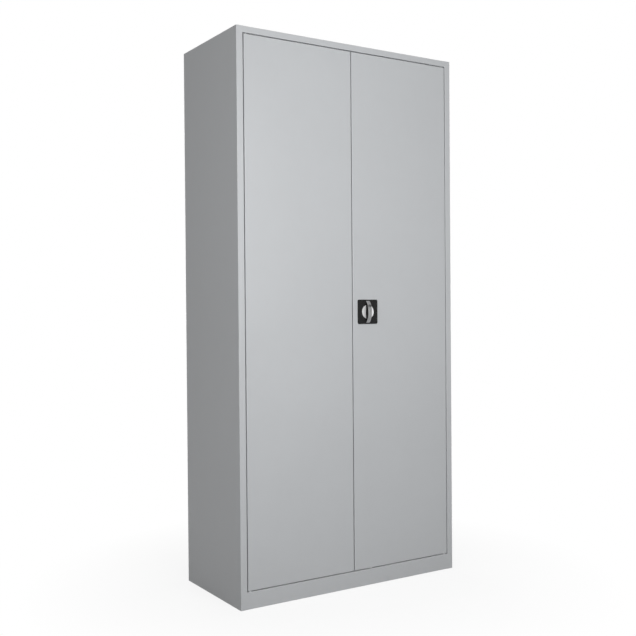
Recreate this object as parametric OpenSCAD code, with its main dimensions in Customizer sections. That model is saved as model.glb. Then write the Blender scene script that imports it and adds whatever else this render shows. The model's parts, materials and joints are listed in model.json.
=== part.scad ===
// Two-door steel tool cabinet with shelves and a three-point turning lock.
// Millimetres. The origin is the centre of the floor footprint, +Z is up and
// the doors face -Y. The folded sheet parts are drawn from their fold lines.

/* [Cabinet] */
// Width over the side panels
cab_w = 920; // [700:10:1200]
// Depth from the front of the doors to the back, without the handle
cab_d = 420; // [350:10:600]
// Height from the floor to the top
cab_h = 1950; // [1700:10:2200]
// Thickness of the sheet steel
sheet = 1; // [0.8:0.1:1.2]
// Outer radius of the folded edges
bend = 2; // [1.8:0.1:2.6]

/* [Front frame] */
// Width of the stile that shows beside each door
stile_w = 24.5; // [18:0.5:30]
// Depth of the stile behind the front
stile_d = 30; // [26:1:40]
// Height of the header that shows above the doors
header_h = 22; // [20:1:60]
// Height of the plinth that shows below the doors
plinth_h = 58.5; // [50:0.5:90]
// Depth of the ledges above and below the doors
ledge_d = 24; // [23.5:0.5:26]
// Height of the lip that the doors close against
stop_h = 15; // [12:1:20]
// Depth of the folds under the plinth and behind the side panels
fold_d = 20; // [12:1:25]

/* [Doors] */
// Gap around each door
door_gap = 3; // [2.5:0.25:4]
// Thickness of a door over its folds
door_t = 20; // [19:0.5:21]
// Width of the fold at the back of a door
door_lip = 14; // [10:1:20]
// Distance of the hinge pin from the door's outer edge
pivot_in = 10; // [9.5:0.5:12]
// Distance of the hinge pin behind the front
pivot_back = 8; // [7.5:0.25:8.5]
// Diameter of the hinge pins
pin_d = 6; // [5:0.5:7]
// Length of a hinge pin inside the door
pin_reach = 12; // [10:1:16]
// Outer diameter of the hinge bushes
bush_d = 10; // [9.5:0.5:11]
// Diameter of the collars and washers at the hinges
collar_d = 11.5; // [11:0.5:12]
// Width of the crown of the stiffener behind each door
brace_w = 50; // [30:5:80]
// Diameter of the rubber buffers
buffer_d = 8; // [6:0.5:9]

/* [Shelves] */
// Height of the folded edges of a shelf
shelf_fold = 25; // [22:1:35]
// Distance between the slots of the shelf rails
slot_pitch = 25; // [22:1:28]
// Height of the lowest slot above the floor of the cabinet
first_slot = 22; // [20:1:40]
// Slots from one shelf to the next
slots_per_shelf = 14; // [12:1:14]
// Height of the lowest shelf, in slots
lowest_shelf = 13; // [10:1:13]
// Depth of a shelf rail from the side panel
rail_d = 13; // [10:1:16]
// Width of a shelf rail
rail_w = 30; // [24:1:40]
// Distance of the front rails behind the stiles
rail_set = 20; // [12:1:40]

/* [Lock] */
// Centre of the lock from the middle of the cabinet
lock_x = 64.5; // [60:0.5:80]
// Height of the centre of the lock
lock_z = 994; // [900:1:1050]
// Width of the lock plate
plate_w = 86; // [84:1:96]
// Height of the lock plate
plate_h = 88; // [84:1:100]
// Thickness of the lock plate
plate_t = 4; // [3.5:0.25:5]
// Corner radius of the lock plate
plate_r = 6; // [3:0.5:9]
// Diameter of the turning disc
rotor_d = 80; // [76:1:82]
// Diameter of the bright dish in the disc
dish_d = 51; // [40:1:52]
// Length of the grip
grip_l = 79; // [74:1:80]
// Width of the grip
grip_w = 17; // [15:0.5:20]
// Height of the grip's crown above the disc
grip_rise = 14.6; // [12:0.2:15.5]
// Distance of the key cylinder above the lock's centre
key_up = 20; // [17:0.5:22]
// Diameter of the key cylinder's housing
housing_d = 12; // [11:0.5:13]
// Diameter of the key plug
plug_d = 8; // [7:0.5:9]
// Module of the pinion and the racks
tooth_module = 1.5; // [1.4:0.05:1.6]
// Diameter of the locking rods
rod_d = 8; // [7:0.5:9]
// Thickness of the racks and the bolt
rack_t = 5; // [4.5:0.25:5]
// Depth of a rack from its pitch line to its back
rack_deep = 9; // [8:0.5:10]

/* [Hidden] */
$fn = 48;

paint = "#b9bcbe";
zinc = "#8f9498";
black = "#26272a";

half_w = cab_w / 2;
half_d = cab_d / 2;
half_sheet = sheet / 2;
front = -half_d;
// How far a flat sheet stays back from the round inside of a fold
corner_gap = 0.3 * (bend - sheet) + 0.02;
// Gap between pieces that pass each other
clearance = 0.3;
// Gap around a shaft in its bearing
running = 0.06;
eps = 1;

// Doors
door_low = plinth_h + door_gap;
door_high = cab_h - header_h - door_gap;
door_inner = door_gap / 2;
door_outer = half_w - stile_w - door_gap;
door_w = door_outer - door_inner;
door_back = front + door_t;
pivot_x = door_outer - pivot_in;
pivot_y = front + pivot_back;
header_low = cab_h - header_h;
stop_y = front + ledge_d;
buffer_in = 60;

// Shelves
floor_top = plinth_h + stop_h + sheet;
rail_low = floor_top;
rail_high = cab_h - sheet;
rail_face = half_w - sheet - rail_d;
rail_front_y = front + stile_d + rail_set;
back_face = half_d - 2 * sheet;
rail_rear_y = back_face - rail_set - rail_w;
rail_flange = 8;
slot_w = 9;
slot_h = 5;
clip_t = 2;
clip_w = 8;
clip_reach = 16;
shelf_half = rail_face - 2 * clearance;
shelf_gap = 8;
shelf_front = front + stile_d + shelf_gap;
shelf_back = back_face - shelf_gap;
shelf_lip = 12;
brace_deep = 44;
brace_foot = 13;
brace_up = 6;

// Lock: pinion, racks and the layers behind the door's skin
teeth = 14;
pitch_r = tooth_module * teeth / 2;
pressure = 20;
addendum = 0.73 * tooth_module;
dedendum = 0.9 * tooth_module;
tooth_gap = 0.1;
throw = pitch_r * PI / 2;
rod_off = pitch_r + (rack_deep + dedendum) / 2;
case_t = 1.5;
case_w = 62;
case_h = 110;
case_y = front + sheet;
bolt_y = case_y + case_t + clearance;
rod_layer_y = bolt_y + rack_t + clearance;
rod_y = rod_layer_y + rack_t / 2;
cover_y = rod_layer_y + rack_t + clearance;
cover_back = cover_y + case_t;
hub_r = 10;
hub_room = 2;
pivot_hub_r = 6;
plate_face = front - plate_t;
pocket_bed = 1.2;
pocket_floor = front - pocket_bed;
disc_stand = 0.2;
disc_back = pocket_floor - clearance;
disc_face = plate_face - disc_stand;
dish_deep = 1.5;
drive = 7;
tip_l = 14;
rod_clear = 0.5;
upper_rod_x = lock_x - rod_off;
lower_rod_x = lock_x + rod_off;
bar_end = 80;
bolt_tail = 52;
mesh_reach = 9;
rod_start = 62;
bolt_low = lock_z - pitch_r - rack_deep;
bolt_high = lock_z - pitch_r - dedendum;
bolt_tip = door_inner + rod_clear;
bolt_end = lock_x + bolt_tail;
strike_t = 1.5;
screw_d = 4;
screw_x = case_w / 2 - 5;
screw_z = case_h / 2 - 5;
thread_l = 8;
// Depth of the grip at its crown, and the circle that its outer face follows
grip_t = 5.2;
grip_edge = 2;
grip_r = (pow(grip_l / 2, 2) + pow(grip_rise, 2)) / (2 * grip_rise);
grip_centre = disc_face - grip_rise + grip_r;
key_stand = 1.2;
key_face = grip_centre - sqrt(pow(grip_r, 2) - pow(key_up, 2)) - key_stand;

// ---- Folded sheet and extrusions ----

function unit(v) = v / norm(v);

// Points of one side of a folded sheet: each fold is an arc about its own centre.
// side is 1 for the left of the path and -1 for the right.
function fold_side(path, side) =
    let (last = len(path) - 1, middle_r = bend - half_sheet, steps = 6)
    [for (i = [0 : last])
        let (into = unit(path[max(i, 1)] - path[max(i, 1) - 1]),
             out = unit(path[min(i, last - 1) + 1] - path[min(i, last - 1)]),
             left = [-out[1], out[0]],
             turn = into[0] * out[1] - into[1] * out[0],
             centre = path[i] + (out - into) * middle_r,
             r = middle_r - side * sign(turn) * half_sheet)
        each turn == 0
            ? [path[i] + left * side * half_sheet]
            : [for (k = [0 : steps]) centre + r * (into * sin(90 * k / steps) - out * cos(90 * k / steps))]];

// Outline of a folded sheet that runs along a path of fold lines, all at right angles
module folded(path) {
    far = fold_side(path, -1);
    polygon([each fold_side(path, 1), for (i = [len(far) - 1 : -1 : 0]) far[i]]);
}

// Extrude a YZ outline along X
module along_x(from, to) {
    translate([from, 0, 0]) rotate([90, 0, 90]) linear_extrude(height = to - from) children();
}

// Extrude an XZ outline along Y
module along_y(from, to) {
    translate([0, to, 0]) rotate([90, 0, 0]) linear_extrude(height = to - from) children();
}

// Extrude an XY outline along Z
module along_z(from, to) {
    translate([0, 0, from]) linear_extrude(height = to - from) children();
}

// Box between two corners
module block(low, high) {
    translate(low) cube(high - low);
}

// Cylinder along Y or Z between two places
module rod_y(r, from, to, x, z) {
    translate([x, to, z]) rotate([90, 0, 0]) cylinder(r = r, h = to - from);
}
module rod_z(r, from, to, x, y) {
    translate([x, y, from]) cylinder(r = r, h = to - from);
}

// Both sides of the cabinet
module both_sides() {
    children();
    mirror([1, 0, 0]) children();
}

// ---- Carcass ----

// Left side panel: side, stile, return and lip in one sheet, drawn in plan
module side_panel() {
    x_side = -half_w + half_sheet;
    x_return = -half_w + stile_w - half_sheet;
    y_front = front + half_sheet;
    y_lip = front + stile_d - half_sheet;
    y_rear = half_d - half_sheet;
    lip_gap = 4;
    around = [[x_side, y_front], [x_side, y_rear], [x_side + fold_d, y_rear]];
    flat_edge = [[-half_w + stile_w, y_front], each around];
    returned = [[x_side + lip_gap, y_lip], [x_return, y_lip], [x_return, y_front], each around];
    color(paint) {
        // The stile is flat where the plinth and the header butt against it
        along_z(0, plinth_h) folded(flat_edge);
        along_z(plinth_h, header_low) folded(returned);
        along_z(header_low, cab_h) folded(flat_edge);
    }
}
module side_panel_left() { side_panel(); }
module side_panel_right() { mirror([1, 0, 0]) side_panel(); }

// Holes in a ledge for the two hinge pins
module ledge_pin_holes(from, to) {
    both_sides() rod_z(pin_d / 2 + running, from, to, pivot_x, pivot_y);
}

// Roof, header, ledge and stop lip in one sheet, drawn from the side
module top_panel() {
    ledge_z = header_low + half_sheet;
    roof_z = cab_h - half_sheet;
    inner = half_w - stile_w;
    wide = half_w - sheet - corner_gap;
    color(paint) difference() {
        union() {
            along_x(-inner, inner) folded([
                [stop_y + half_sheet, header_low - stop_h], [stop_y + half_sheet, ledge_z],
                [front + half_sheet, ledge_z], [front + half_sheet, roof_z],
                [back_face - half_sheet, roof_z], [back_face - half_sheet, cab_h - fold_d]
            ]);
            block([-wide, front + sheet + corner_gap, cab_h - sheet], [wide, back_face - bend, cab_h]);
        }
        ledge_pin_holes(header_low - eps, header_low + sheet + eps);
        rod_z(rod_d / 2 + 2 * rod_clear, header_low - eps, header_low + sheet + eps, upper_rod_x, rod_y);
    }
}

// Plinth, ledge, door stop and floor in one sheet, drawn from the side
module bottom_panel() {
    ledge_z = plinth_h - half_sheet;
    floor_z = floor_top - half_sheet;
    inner = half_w - stile_w;
    wide = half_w - sheet - corner_gap;
    color(paint) difference() {
        union() {
            along_x(-inner, inner) folded([
                [front + fold_d, half_sheet], [front + half_sheet, half_sheet],
                [front + half_sheet, ledge_z], [stop_y + half_sheet, ledge_z],
                [stop_y + half_sheet, floor_z], [back_face - half_sheet, floor_z],
                [back_face - half_sheet, floor_z - fold_d]
            ]);
            block([-wide, front + stile_d + clearance, floor_top - sheet], [wide, back_face - bend, floor_top]);
        }
        ledge_pin_holes(plinth_h - sheet - eps, plinth_h + eps);
        rod_z(rod_d / 2 + 2 * rod_clear, plinth_h - sheet - eps, plinth_h + eps, lower_rod_x, rod_y);
    }
}

// Flat back between the rear folds of the side panels and the roof
module back_panel() {
    half = half_w - bend - clearance;
    color(paint) block([-half, back_face, plinth_h - fold_d], [half, half_d - sheet, cab_h]);
}

// Rail that carries the back of the floor
module plinth_rear() {
    y_web = back_face - fold_d - half_sheet;
    top = floor_top - sheet - half_sheet;
    color(paint) along_x(-shelf_half, shelf_half) folded([
        [y_web - fold_d, half_sheet], [y_web, half_sheet], [y_web, top], [y_web - fold_d, top]
    ]);
}

// ---- Shelves ----

function slot_z(n) = rail_low + first_slot + n * slot_pitch;
function clip_z(i) = slot_z(lowest_shelf + (i - 1) * slots_per_shelf) + clip_t;
function shelf_top(i) = clip_z(i) + shelf_fold;

// Slotted rail on the left side panel, between two places in depth
module shelf_rail(y0) {
    x_flange = -half_w + sheet + half_sheet;
    x_web = -rail_face - half_sheet;
    y1 = y0 + rail_w;
    slots = floor((rail_high - rail_low - first_slot - slot_pitch) / slot_pitch);
    color(paint) difference() {
        along_z(rail_low, rail_high) folded([
            [x_flange, y0 - rail_flange], [x_flange, y0 + half_sheet], [x_web, y0 + half_sheet],
            [x_web, y1 - half_sheet], [x_flange, y1 - half_sheet], [x_flange, y1 + rail_flange]
        ]);
        for (n = [0 : slots])
            block([x_web - sheet, y0 + (rail_w - slot_w) / 2, slot_z(n)],
                  [x_web + sheet, y0 + (rail_w + slot_w) / 2, slot_z(n) + slot_h]);
    }
}
module shelf_rail_front_left() { shelf_rail(rail_front_y); }
module shelf_rail_front_right() { mirror([1, 0, 0]) shelf_rail(rail_front_y); }
module shelf_rail_rear_left() { shelf_rail(rail_rear_y); }
module shelf_rail_rear_right() { mirror([1, 0, 0]) shelf_rail(rail_rear_y); }

// Shelf with its four edges folded down
module shelf(i) {
    top = shelf_top(i) - half_sheet;
    low = clip_z(i) + half_sheet;
    y0 = shelf_front + half_sheet;
    y1 = shelf_back - half_sheet;
    color(paint) {
        along_x(-shelf_half, shelf_half) folded([
            [y0 + shelf_lip, low], [y0, low], [y0, top], [y1, top], [y1, low], [y1 - shelf_lip, low]
        ]);
        both_sides()
            block([shelf_half - sheet, shelf_front + bend, clip_z(i)],
                  [shelf_half, shelf_back - bend, shelf_top(i) - half_sheet]);
    }
}

// Hat-shaped brace under the middle of a shelf
module shelf_brace(i) {
    top = shelf_top(i) - sheet - half_sheet;
    low = shelf_top(i) - shelf_fold + brace_up;
    mid = (shelf_front + shelf_back) / 2;
    crown = brace_deep / 2;
    foot = crown + brace_foot;
    color(paint) along_x(-shelf_half + 2 * bend, shelf_half - 2 * bend) folded([
        [mid - foot, top], [mid - crown, top], [mid - crown, low],
        [mid + crown, low], [mid + crown, top], [mid + foot, top]
    ]);
}

// Four clips that hook over the lower edge of a slot and carry a shelf
module shelf_clips(i) {
    z = clip_z(i);
    hook = slot_h - 1;
    leg = 10;
    inside = rail_face + sheet;
    for (y0 = [rail_front_y, rail_rear_y])
        color(zinc) both_sides()
            along_y(y0 + (rail_w - clip_w) / 2, y0 + (rail_w + clip_w) / 2) polygon([
                [inside + clip_t, z], [rail_face - clip_reach, z], [rail_face - clip_reach, z - clip_t],
                [rail_face - clip_t, z - clip_t], [rail_face - clip_t, z - clip_t - leg],
                [rail_face, z - clip_t - leg], [rail_face, z - clip_t], [inside, z - clip_t],
                [inside, z - clip_t - hook], [inside + clip_t, z - clip_t - hook]
            ]);
}

// ---- Hinges and stops on the carcass ----

// Four pins, each with its head on the far side of a ledge
module hinge_pins() {
    head_r = pin_d / 2 + 2;
    head_t = 3;
    color(zinc) both_sides() {
        rod_z(pin_d / 2, plinth_h - sheet, door_low + pin_reach, pivot_x, pivot_y);
        rod_z(head_r, plinth_h - sheet - head_t, plinth_h - sheet, pivot_x, pivot_y);
        rod_z(pin_d / 2, door_high - pin_reach, header_low + sheet, pivot_x, pivot_y);
        rod_z(head_r, header_low + sheet, header_low + sheet + head_t, pivot_x, pivot_y);
    }
}

// Two washers on the lower pins that carry the doors
module hinge_washers() {
    color(zinc) both_sides() difference() {
        rod_z(collar_d / 2, plinth_h, door_low - clearance, pivot_x, pivot_y);
        rod_z(pin_d / 2 + running, plinth_h - eps, door_low, pivot_x, pivot_y);
    }
}

// Rubber buffers on the two stop lips
module door_buffers() {
    color(black) both_sides()
        for (x = [lower_rod_x + rod_d + buffer_d, door_outer - buffer_in], z = [door_low + door_lip / 2, door_high - door_lip / 2])
            rod_y(buffer_d / 2, door_back + clearance, stop_y, x, z);
}

// ---- Doors, drawn for the right side ----

// Rectangle whose two corners at the low second coordinate are round
module round_front(low, high, r) {
    wide = high[0] - low[0];
    deep = high[1] - low[1];
    translate([low[0] + r, low[1]]) square([wide - 2 * r, deep]);
    translate([low[0], low[1] + r]) square([wide, deep - r]);
    for (x = [low[0] + r, high[0] - r])
        translate([x, low[1] + r]) circle(r = r);
}

// Block of a door's outline with its front edges folded round, taken in by an inset
module door_block(inset) {
    r = bend - inset;
    low = [door_inner + inset, front + inset, door_low + inset];
    high = [door_outer - inset, door_back - inset, door_high - inset];
    intersection() {
        along_z(low[2], high[2]) round_front([low[0], low[1]], [high[0], high[1]], r);
        along_x(low[0], high[0]) mirror([1, -1]) round_front([low[2], low[1]], [high[2], high[1]], r);
    }
}

// Opening in a door's free edge that the centre bolt passes through
module bolt_slot(from, to) {
    block([from, bolt_y - rod_clear, bolt_low - rod_clear],
          [to, bolt_y + rack_t + rod_clear, bolt_high + rod_clear]);
}

// Pan with four folded sides and a lip all round its back
module door_pan() {
    difference() {
        door_block(0);
        door_block(sheet);
        block([door_inner + door_lip, door_back - sheet - eps, door_low + door_lip],
              [door_outer - door_lip, door_back + eps, door_high - door_lip]);
        for (z = [door_low, door_high - sheet])
            rod_z(bush_d / 2 + running, z - eps, z + sheet + eps, pivot_x, pivot_y);
        bolt_slot(door_inner - eps, door_inner + sheet + eps);
    }
}

// Hat-shaped upright behind the skin
module door_brace() {
    mid = (door_inner + door_outer) / 2;
    foot_y = front + sheet + half_sheet;
    crown_y = door_back - 2 * sheet - half_sheet;
    half = brace_w / 2;
    color(paint) along_z(door_low + 2 * door_lip, door_high - 2 * door_lip) folded([
        [mid - half - door_lip, foot_y], [mid - half, foot_y], [mid - half, crown_y],
        [mid + half, crown_y], [mid + half, foot_y], [mid + half + door_lip, foot_y]
    ]);
}

// Bush through one edge fold: from the fold's outer face inwards, up or down
module door_bush(edge, way) {
    collar_t = 1.5;
    spare = 2;
    length = pin_reach - spare;
    inner = edge + way * length;
    collar = [edge + way * sheet, edge + way * (sheet + collar_t)];
    difference() {
        union() {
            rod_z(bush_d / 2, min(edge, inner), max(edge, inner), pivot_x, pivot_y);
            rod_z(collar_d / 2, min(collar), max(collar), pivot_x, pivot_y);
        }
        rod_z(pin_d / 2 + running, min(edge, inner) - eps, max(edge, inner) + eps, pivot_x, pivot_y);
    }
}
module door_bushes() {
    color("white") {
        door_bush(door_low, 1);
        door_bush(door_high, -1);
    }
}

module left_door_panel() { color(paint) mirror([1, 0, 0]) door_pan(); }
module left_door_brace() { mirror([1, 0, 0]) door_brace(); }
module left_door_bushes() { mirror([1, 0, 0]) door_bushes(); }
module right_door_brace() { door_brace(); }
module right_door_bushes() { door_bushes(); }

module right_door_panel() {
    color(paint) difference() {
        door_pan();
        rod_y(hub_r + hub_room, front - eps, front + sheet + eps, lock_x, lock_z);
        rod_z(rod_d / 2 + rod_clear, door_high - sheet - eps, door_high + eps, upper_rod_x, rod_y);
        rod_z(rod_d / 2 + rod_clear, door_low - eps, door_low + sheet + eps, lower_rod_x, rod_y);
    }
}

// Plate behind the slot in the left door's free edge
module strike_plate() {
    mid = (bolt_low + bolt_high) / 2;
    x = -door_inner - sheet;
    half = 30;
    color(zinc) difference() {
        block([x - strike_t, front + bend, mid - half], [x, door_back - sheet, mid + half]);
        bolt_slot(x - strike_t - eps, x + eps);
    }
}

// ---- Lock: case, pinion, racks and bolt ----

// Place children in the plane of the lock, with its centre at the origin
module at_lock(from, to) {
    translate([lock_x, 0, lock_z]) along_y(from, to) children();
}

// Rectangle about the origin with round corners
module rounded_rect(w, h, r) {
    square([w - 2 * r, h], center = true);
    square([w, h - 2 * r], center = true);
    for (x = [-1, 1], y = [-1, 1])
        translate([x * (w / 2 - r), y * (h / 2 - r)]) circle(r = r);
}

module screw_holes(from, to) {
    for (x = [-1, 1], z = [-1, 1])
        rod_y(screw_d / 2 + running, from, to, lock_x + x * screw_x, lock_z + z * screw_z);
}

// Flat plate on the skin that carries the disc's hub
module lock_case() {
    color(zinc) difference() {
        at_lock(case_y, case_y + case_t) square([case_w, case_h], center = true);
        rod_y(hub_r + running, case_y - eps, case_y + case_t + eps, lock_x, lock_z);
        screw_holes(case_y - eps, case_y + case_t + eps);
    }
}

// Shallow box over the gear, with slots that guide the racks and the bolt
module lock_cover() {
    bar_half = (rack_deep - dedendum) / 2 + clearance;
    inner_y = case_y + case_t;
    color(zinc) difference() {
        at_lock(inner_y, cover_back) square([case_w, case_h], center = true);
        at_lock(inner_y - eps, cover_y) square([case_w - 2 * case_t, case_h - 2 * case_t], center = true);
        for (x = [upper_rod_x, lower_rod_x])
            block([x - bar_half, rod_layer_y - clearance, lock_z - case_h], [x + bar_half, cover_y, lock_z + case_h]);
        block([lock_x - case_w, inner_y - eps, bolt_low - clearance],
              [lock_x + case_w, rod_layer_y, bolt_high + clearance]);
        rod_y(pivot_hub_r + running, cover_y - eps, cover_back + eps, lock_x, lock_z);
        screw_holes(cover_y - eps, cover_back + eps);
    }
}

module lock_screws() {
    head_t = 2;
    color(zinc)
        for (x = [-1, 1], z = [-1, 1]) {
            rod_y(screw_d / 2, case_y, cover_back, lock_x + x * screw_x, lock_z + z * screw_z);
            rod_y(screw_d, cover_back, cover_back + head_t, lock_x + x * screw_x, lock_z + z * screw_z);
        }
}

// Black plate on the front, with a round pocket for the disc
module lock_plate() {
    color(black) difference() {
        at_lock(plate_face, front) rounded_rect(plate_w, plate_h, plate_r);
        rod_y(rotor_d / 2 + clearance, plate_face - eps, pocket_floor, lock_x, lock_z);
        rod_y(hub_r + clearance, pocket_floor - eps, front + eps, lock_x, lock_z);
    }
}

// Blocks on the skin that each rod slides through
module rod_guides() {
    half_x = rod_d / 2 + 5;
    half_z = 6;
    cap = 2;
    from_lock = 250;
    from_end = 60;
    for (place = [
        [upper_rod_x, lock_z + from_lock], [upper_rod_x, door_high - from_end],
        [lower_rod_x, lock_z - from_lock], [lower_rod_x, door_low + from_end]
    ])
        color(black) difference() {
            block([place[0] - half_x, case_y, place[1] - half_z],
                  [place[0] + half_x, rod_y + rod_d / 2 + cap, place[1] + half_z]);
            rod_z(rod_d / 2 + clearance, place[1] - half_z - eps, place[1] + half_z + eps, place[0], rod_y);
        }
}

// Angle between a radius and the start of the involute, in degrees
function involute(base, r) = let (a = acos(min(1, base / r))) tan(a) * 180 / PI - a;

// Half the angle of a tooth at a radius
function tooth_half(r) =
    let (base = pitch_r * cos(pressure), pitch = PI * tooth_module)
    (pitch / 4 - tooth_gap / 2) / pitch_r * 180 / PI
        + involute(base, pitch_r) - involute(base, max(base, r));

// Pinion outline with one tooth along the first axis
function pinion_points() =
    let (base = pitch_r * cos(pressure), outer = pitch_r + addendum, steps = 4,
         radii = [pitch_r - dedendum, for (i = [0 : steps]) base + (outer - base) * i / steps])
    [for (tooth = [0 : teeth - 1])
        for (side = [-1, 1])
            for (i = [0 : len(radii) - 1])
                let (r = side < 0 ? radii[i] : radii[len(radii) - 1 - i],
                     a = tooth * 360 / teeth + side * tooth_half(r))
                r * [cos(a), sin(a)]];

// Rack along the first axis, teeth towards +second from the pitch line at zero.
// shift is 0 for a tooth at the pinion's centre and 0.5 for a gap there.
function rack_points(from, to, teeth_from, teeth_to, shift, nose) =
    let (pitch = PI * tooth_module, slope = tan(pressure), half = pitch / 4 - tooth_gap / 2,
         first = ceil(teeth_from / pitch - shift), final = floor(teeth_to / pitch - shift),
         root = half + dedendum * slope, tip = half - addendum * slope)
    [[from + nose, -rack_deep], [from, -rack_deep + nose], [from, -dedendum - nose], [from + nose, -dedendum],
     for (k = [first : final])
        let (s = (k + shift) * pitch)
        each [[s - root, -dedendum], [s - tip, addendum], [s + tip, addendum], [s + root, -dedendum]],
     [to, -dedendum], [to, -rack_deep]];

module lock_pinion() {
    gear_back = rod_layer_y + rack_t;
    color(zinc) difference() {
        union() {
            at_lock(bolt_y, gear_back) polygon(pinion_points());
            rod_y(pivot_hub_r, gear_back - eps, cover_back + clearance, lock_x, lock_z);
        }
        at_lock(bolt_y - eps, cover_back + eps) square(drive + 2 * running, center = true);
    }
}

module upper_rod() {
    color(zinc) {
        at_lock(rod_layer_y, rod_layer_y + rack_t)
            translate([-pitch_r, 0]) mirror([1, -1])
                polygon(rack_points(-bar_end, rod_start + rack_t, -throw - mesh_reach, mesh_reach, 0.5, 0));
        rod_z(rod_d / 2, lock_z + rod_start, door_high - tip_l, upper_rod_x, rod_y);
    }
}

module lower_rod() {
    color(zinc) {
        at_lock(rod_layer_y, rod_layer_y + rack_t)
            translate([pitch_r, 0]) rotate(180) mirror([1, -1])
                polygon(rack_points(-bar_end, rod_start + rack_t, -throw - mesh_reach, mesh_reach, 0.5, 0));
        rod_z(rod_d / 2, door_low + tip_l, lock_z - rod_start, lower_rod_x, rod_y);
    }
}

// Moulded tip of a rod: its round end points up or down
module rod_tip(x, joint_z, end_z) {
    way = end_z > joint_z ? 1 : -1;
    nose = 3;
    end_r = rod_d / 2 - nose / 2;
    color(black) translate([x, rod_y, joint_z]) rotate([way > 0 ? 0 : 180, 0, 0]) {
        cylinder(r = rod_d / 2, h = abs(end_z - joint_z) - nose);
        translate([0, 0, abs(end_z - joint_z) - nose]) cylinder(r1 = rod_d / 2, r2 = end_r, h = nose);
    }
}
module upper_rod_tip() { rod_tip(upper_rod_x, door_high - tip_l, door_high - rod_clear); }
module lower_rod_tip() { rod_tip(lower_rod_x, door_low + tip_l, door_low + rod_clear); }

module centre_bolt() {
    nose = 2;
    color(zinc) at_lock(bolt_y, bolt_y + rack_t) translate([0, -pitch_r])
        polygon(rack_points(bolt_tip - lock_x, bolt_end - lock_x, -mesh_reach, throw + mesh_reach, 0, nose));
}

// ---- Handle: disc, dish, grip and key cylinder turn together ----

module handle_disc() {
    color(black) difference() {
        union() {
            rod_y(rotor_d / 2, disc_face, disc_back, lock_x, lock_z);
            rod_y(hub_r, disc_back - eps, bolt_y, lock_x, lock_z);
        }
        rod_y(dish_d / 2 + running, disc_face - eps, disc_face + dish_deep, lock_x, lock_z);
        at_lock(disc_back, bolt_y + eps) square(drive + 2 * running, center = true);
    }
}

// Bright hollow dish, turned from a curve that falls from the rim to the middle
module handle_dish() {
    steps = 8;
    sag = 1;
    rim = dish_d / 2;
    color("silver") translate([lock_x, disc_face + dish_deep, lock_z]) rotate([90, 0, 0])
        rotate_extrude($fn = 96) polygon([
            [0, 0], [rim, 0],
            for (i = [steps : -1 : 0])
                let (r = rim * i / steps) [r, dish_deep - sag * (1 - pow(r / rim, 2))]
        ]);
}

// Bowed bar: a round-edged section turned about a line across the cabinet
module handle_grip() {
    color("#8c9094") difference() {
        intersection() {
            translate([lock_x, grip_centre, lock_z]) rotate([0, 90, 0])
                rotate_extrude($fn = 180) translate([grip_r - grip_t / 2, 0]) rounded_rect(grip_t, grip_w, grip_edge);
            block([lock_x - grip_w, disc_face - grip_rise - eps, lock_z - grip_l],
                  [lock_x + grip_w, disc_face, lock_z + grip_l]);
        }
        rod_y(housing_d / 2 + running, disc_face - grip_rise - eps, disc_face + eps, lock_x, lock_z + key_up);
    }
}

module key_housing() {
    color("silver") difference() {
        rod_y(housing_d / 2, key_face, disc_face, lock_x, lock_z + key_up);
        rod_y(plug_d / 2 + running, key_face - eps, disc_face + eps, lock_x, lock_z + key_up);
    }
}

module key_plug() {
    keyway_w = 1.2;
    keyway_h = plug_d - 2;
    keyway_deep = 5;
    z = lock_z + key_up;
    color("silver") difference() {
        rod_y(plug_d / 2, key_face, disc_face - clearance, lock_x, z);
        block([lock_x - keyway_w / 2, key_face - eps, z - keyway_h / 2],
              [lock_x + keyway_w / 2, key_face + keyway_deep, z + keyway_h / 2]);
    }
}

// Square shaft from the disc to the back of the cover
module lock_spindle() {
    color(zinc) difference() {
        at_lock(disc_back, cover_back + clearance) square(drive, center = true);
        rod_y(screw_d / 2 + running, cover_back - thread_l, cover_back + eps, lock_x, lock_z);
    }
}

// Screw and washer that hold the shaft in the case
module spindle_screw() {
    washer_t = 1.2;
    washer_rim = 2;
    head_t = 2.8;
    head_w = 2 * screw_d;
    seat = cover_back + clearance;
    color(zinc) {
        rod_y(screw_d / 2, cover_back - thread_l + clearance, seat + washer_t, lock_x, lock_z);
        rod_y(pivot_hub_r + washer_rim, seat, seat + washer_t, lock_x, lock_z);
        at_lock(seat + washer_t, seat + washer_t + head_t) circle(d = head_w, $fn = 6);
    }
}

side_panel_left();
side_panel_right();
top_panel();
bottom_panel();
back_panel();
plinth_rear();
shelf_rail_front_left();
shelf_rail_front_right();
shelf_rail_rear_left();
shelf_rail_rear_right();
shelf(1);  // shelf_1
shelf(2);  // shelf_2
shelf(3);  // shelf_3
shelf(4);  // shelf_4
shelf_brace(1);  // shelf_1_brace
shelf_brace(2);  // shelf_2_brace
shelf_brace(3);  // shelf_3_brace
shelf_brace(4);  // shelf_4_brace
shelf_clips(1);  // shelf_1_clips
shelf_clips(2);  // shelf_2_clips
shelf_clips(3);  // shelf_3_clips
shelf_clips(4);  // shelf_4_clips
hinge_pins();
hinge_washers();
door_buffers();
left_door_panel();
left_door_brace();
left_door_bushes();
strike_plate();
right_door_panel();
right_door_brace();
right_door_bushes();
lock_case();
lock_cover();
lock_plate();
lock_screws();
rod_guides();
handle_disc();
handle_dish();
handle_grip();
key_housing();
lock_spindle();
lock_pinion();
spindle_screw();
key_plug();
upper_rod();
upper_rod_tip();
lower_rod();
lower_rod_tip();
centre_bolt();
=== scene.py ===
"""The looks of a tall two-door steel tool cabinet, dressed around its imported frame.

The carcass, doors, shelves and lock work come from the frame. This script gives every one of them a
finish, puts finer pieces in place of the lock furniture, adds the small fasteners and the weld marks,
and sets up the floor, the light and the camera. Lengths in the classes are in millimetres, and each
mesh is brought to metres when it is finished.
"""

from __future__ import annotations

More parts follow.
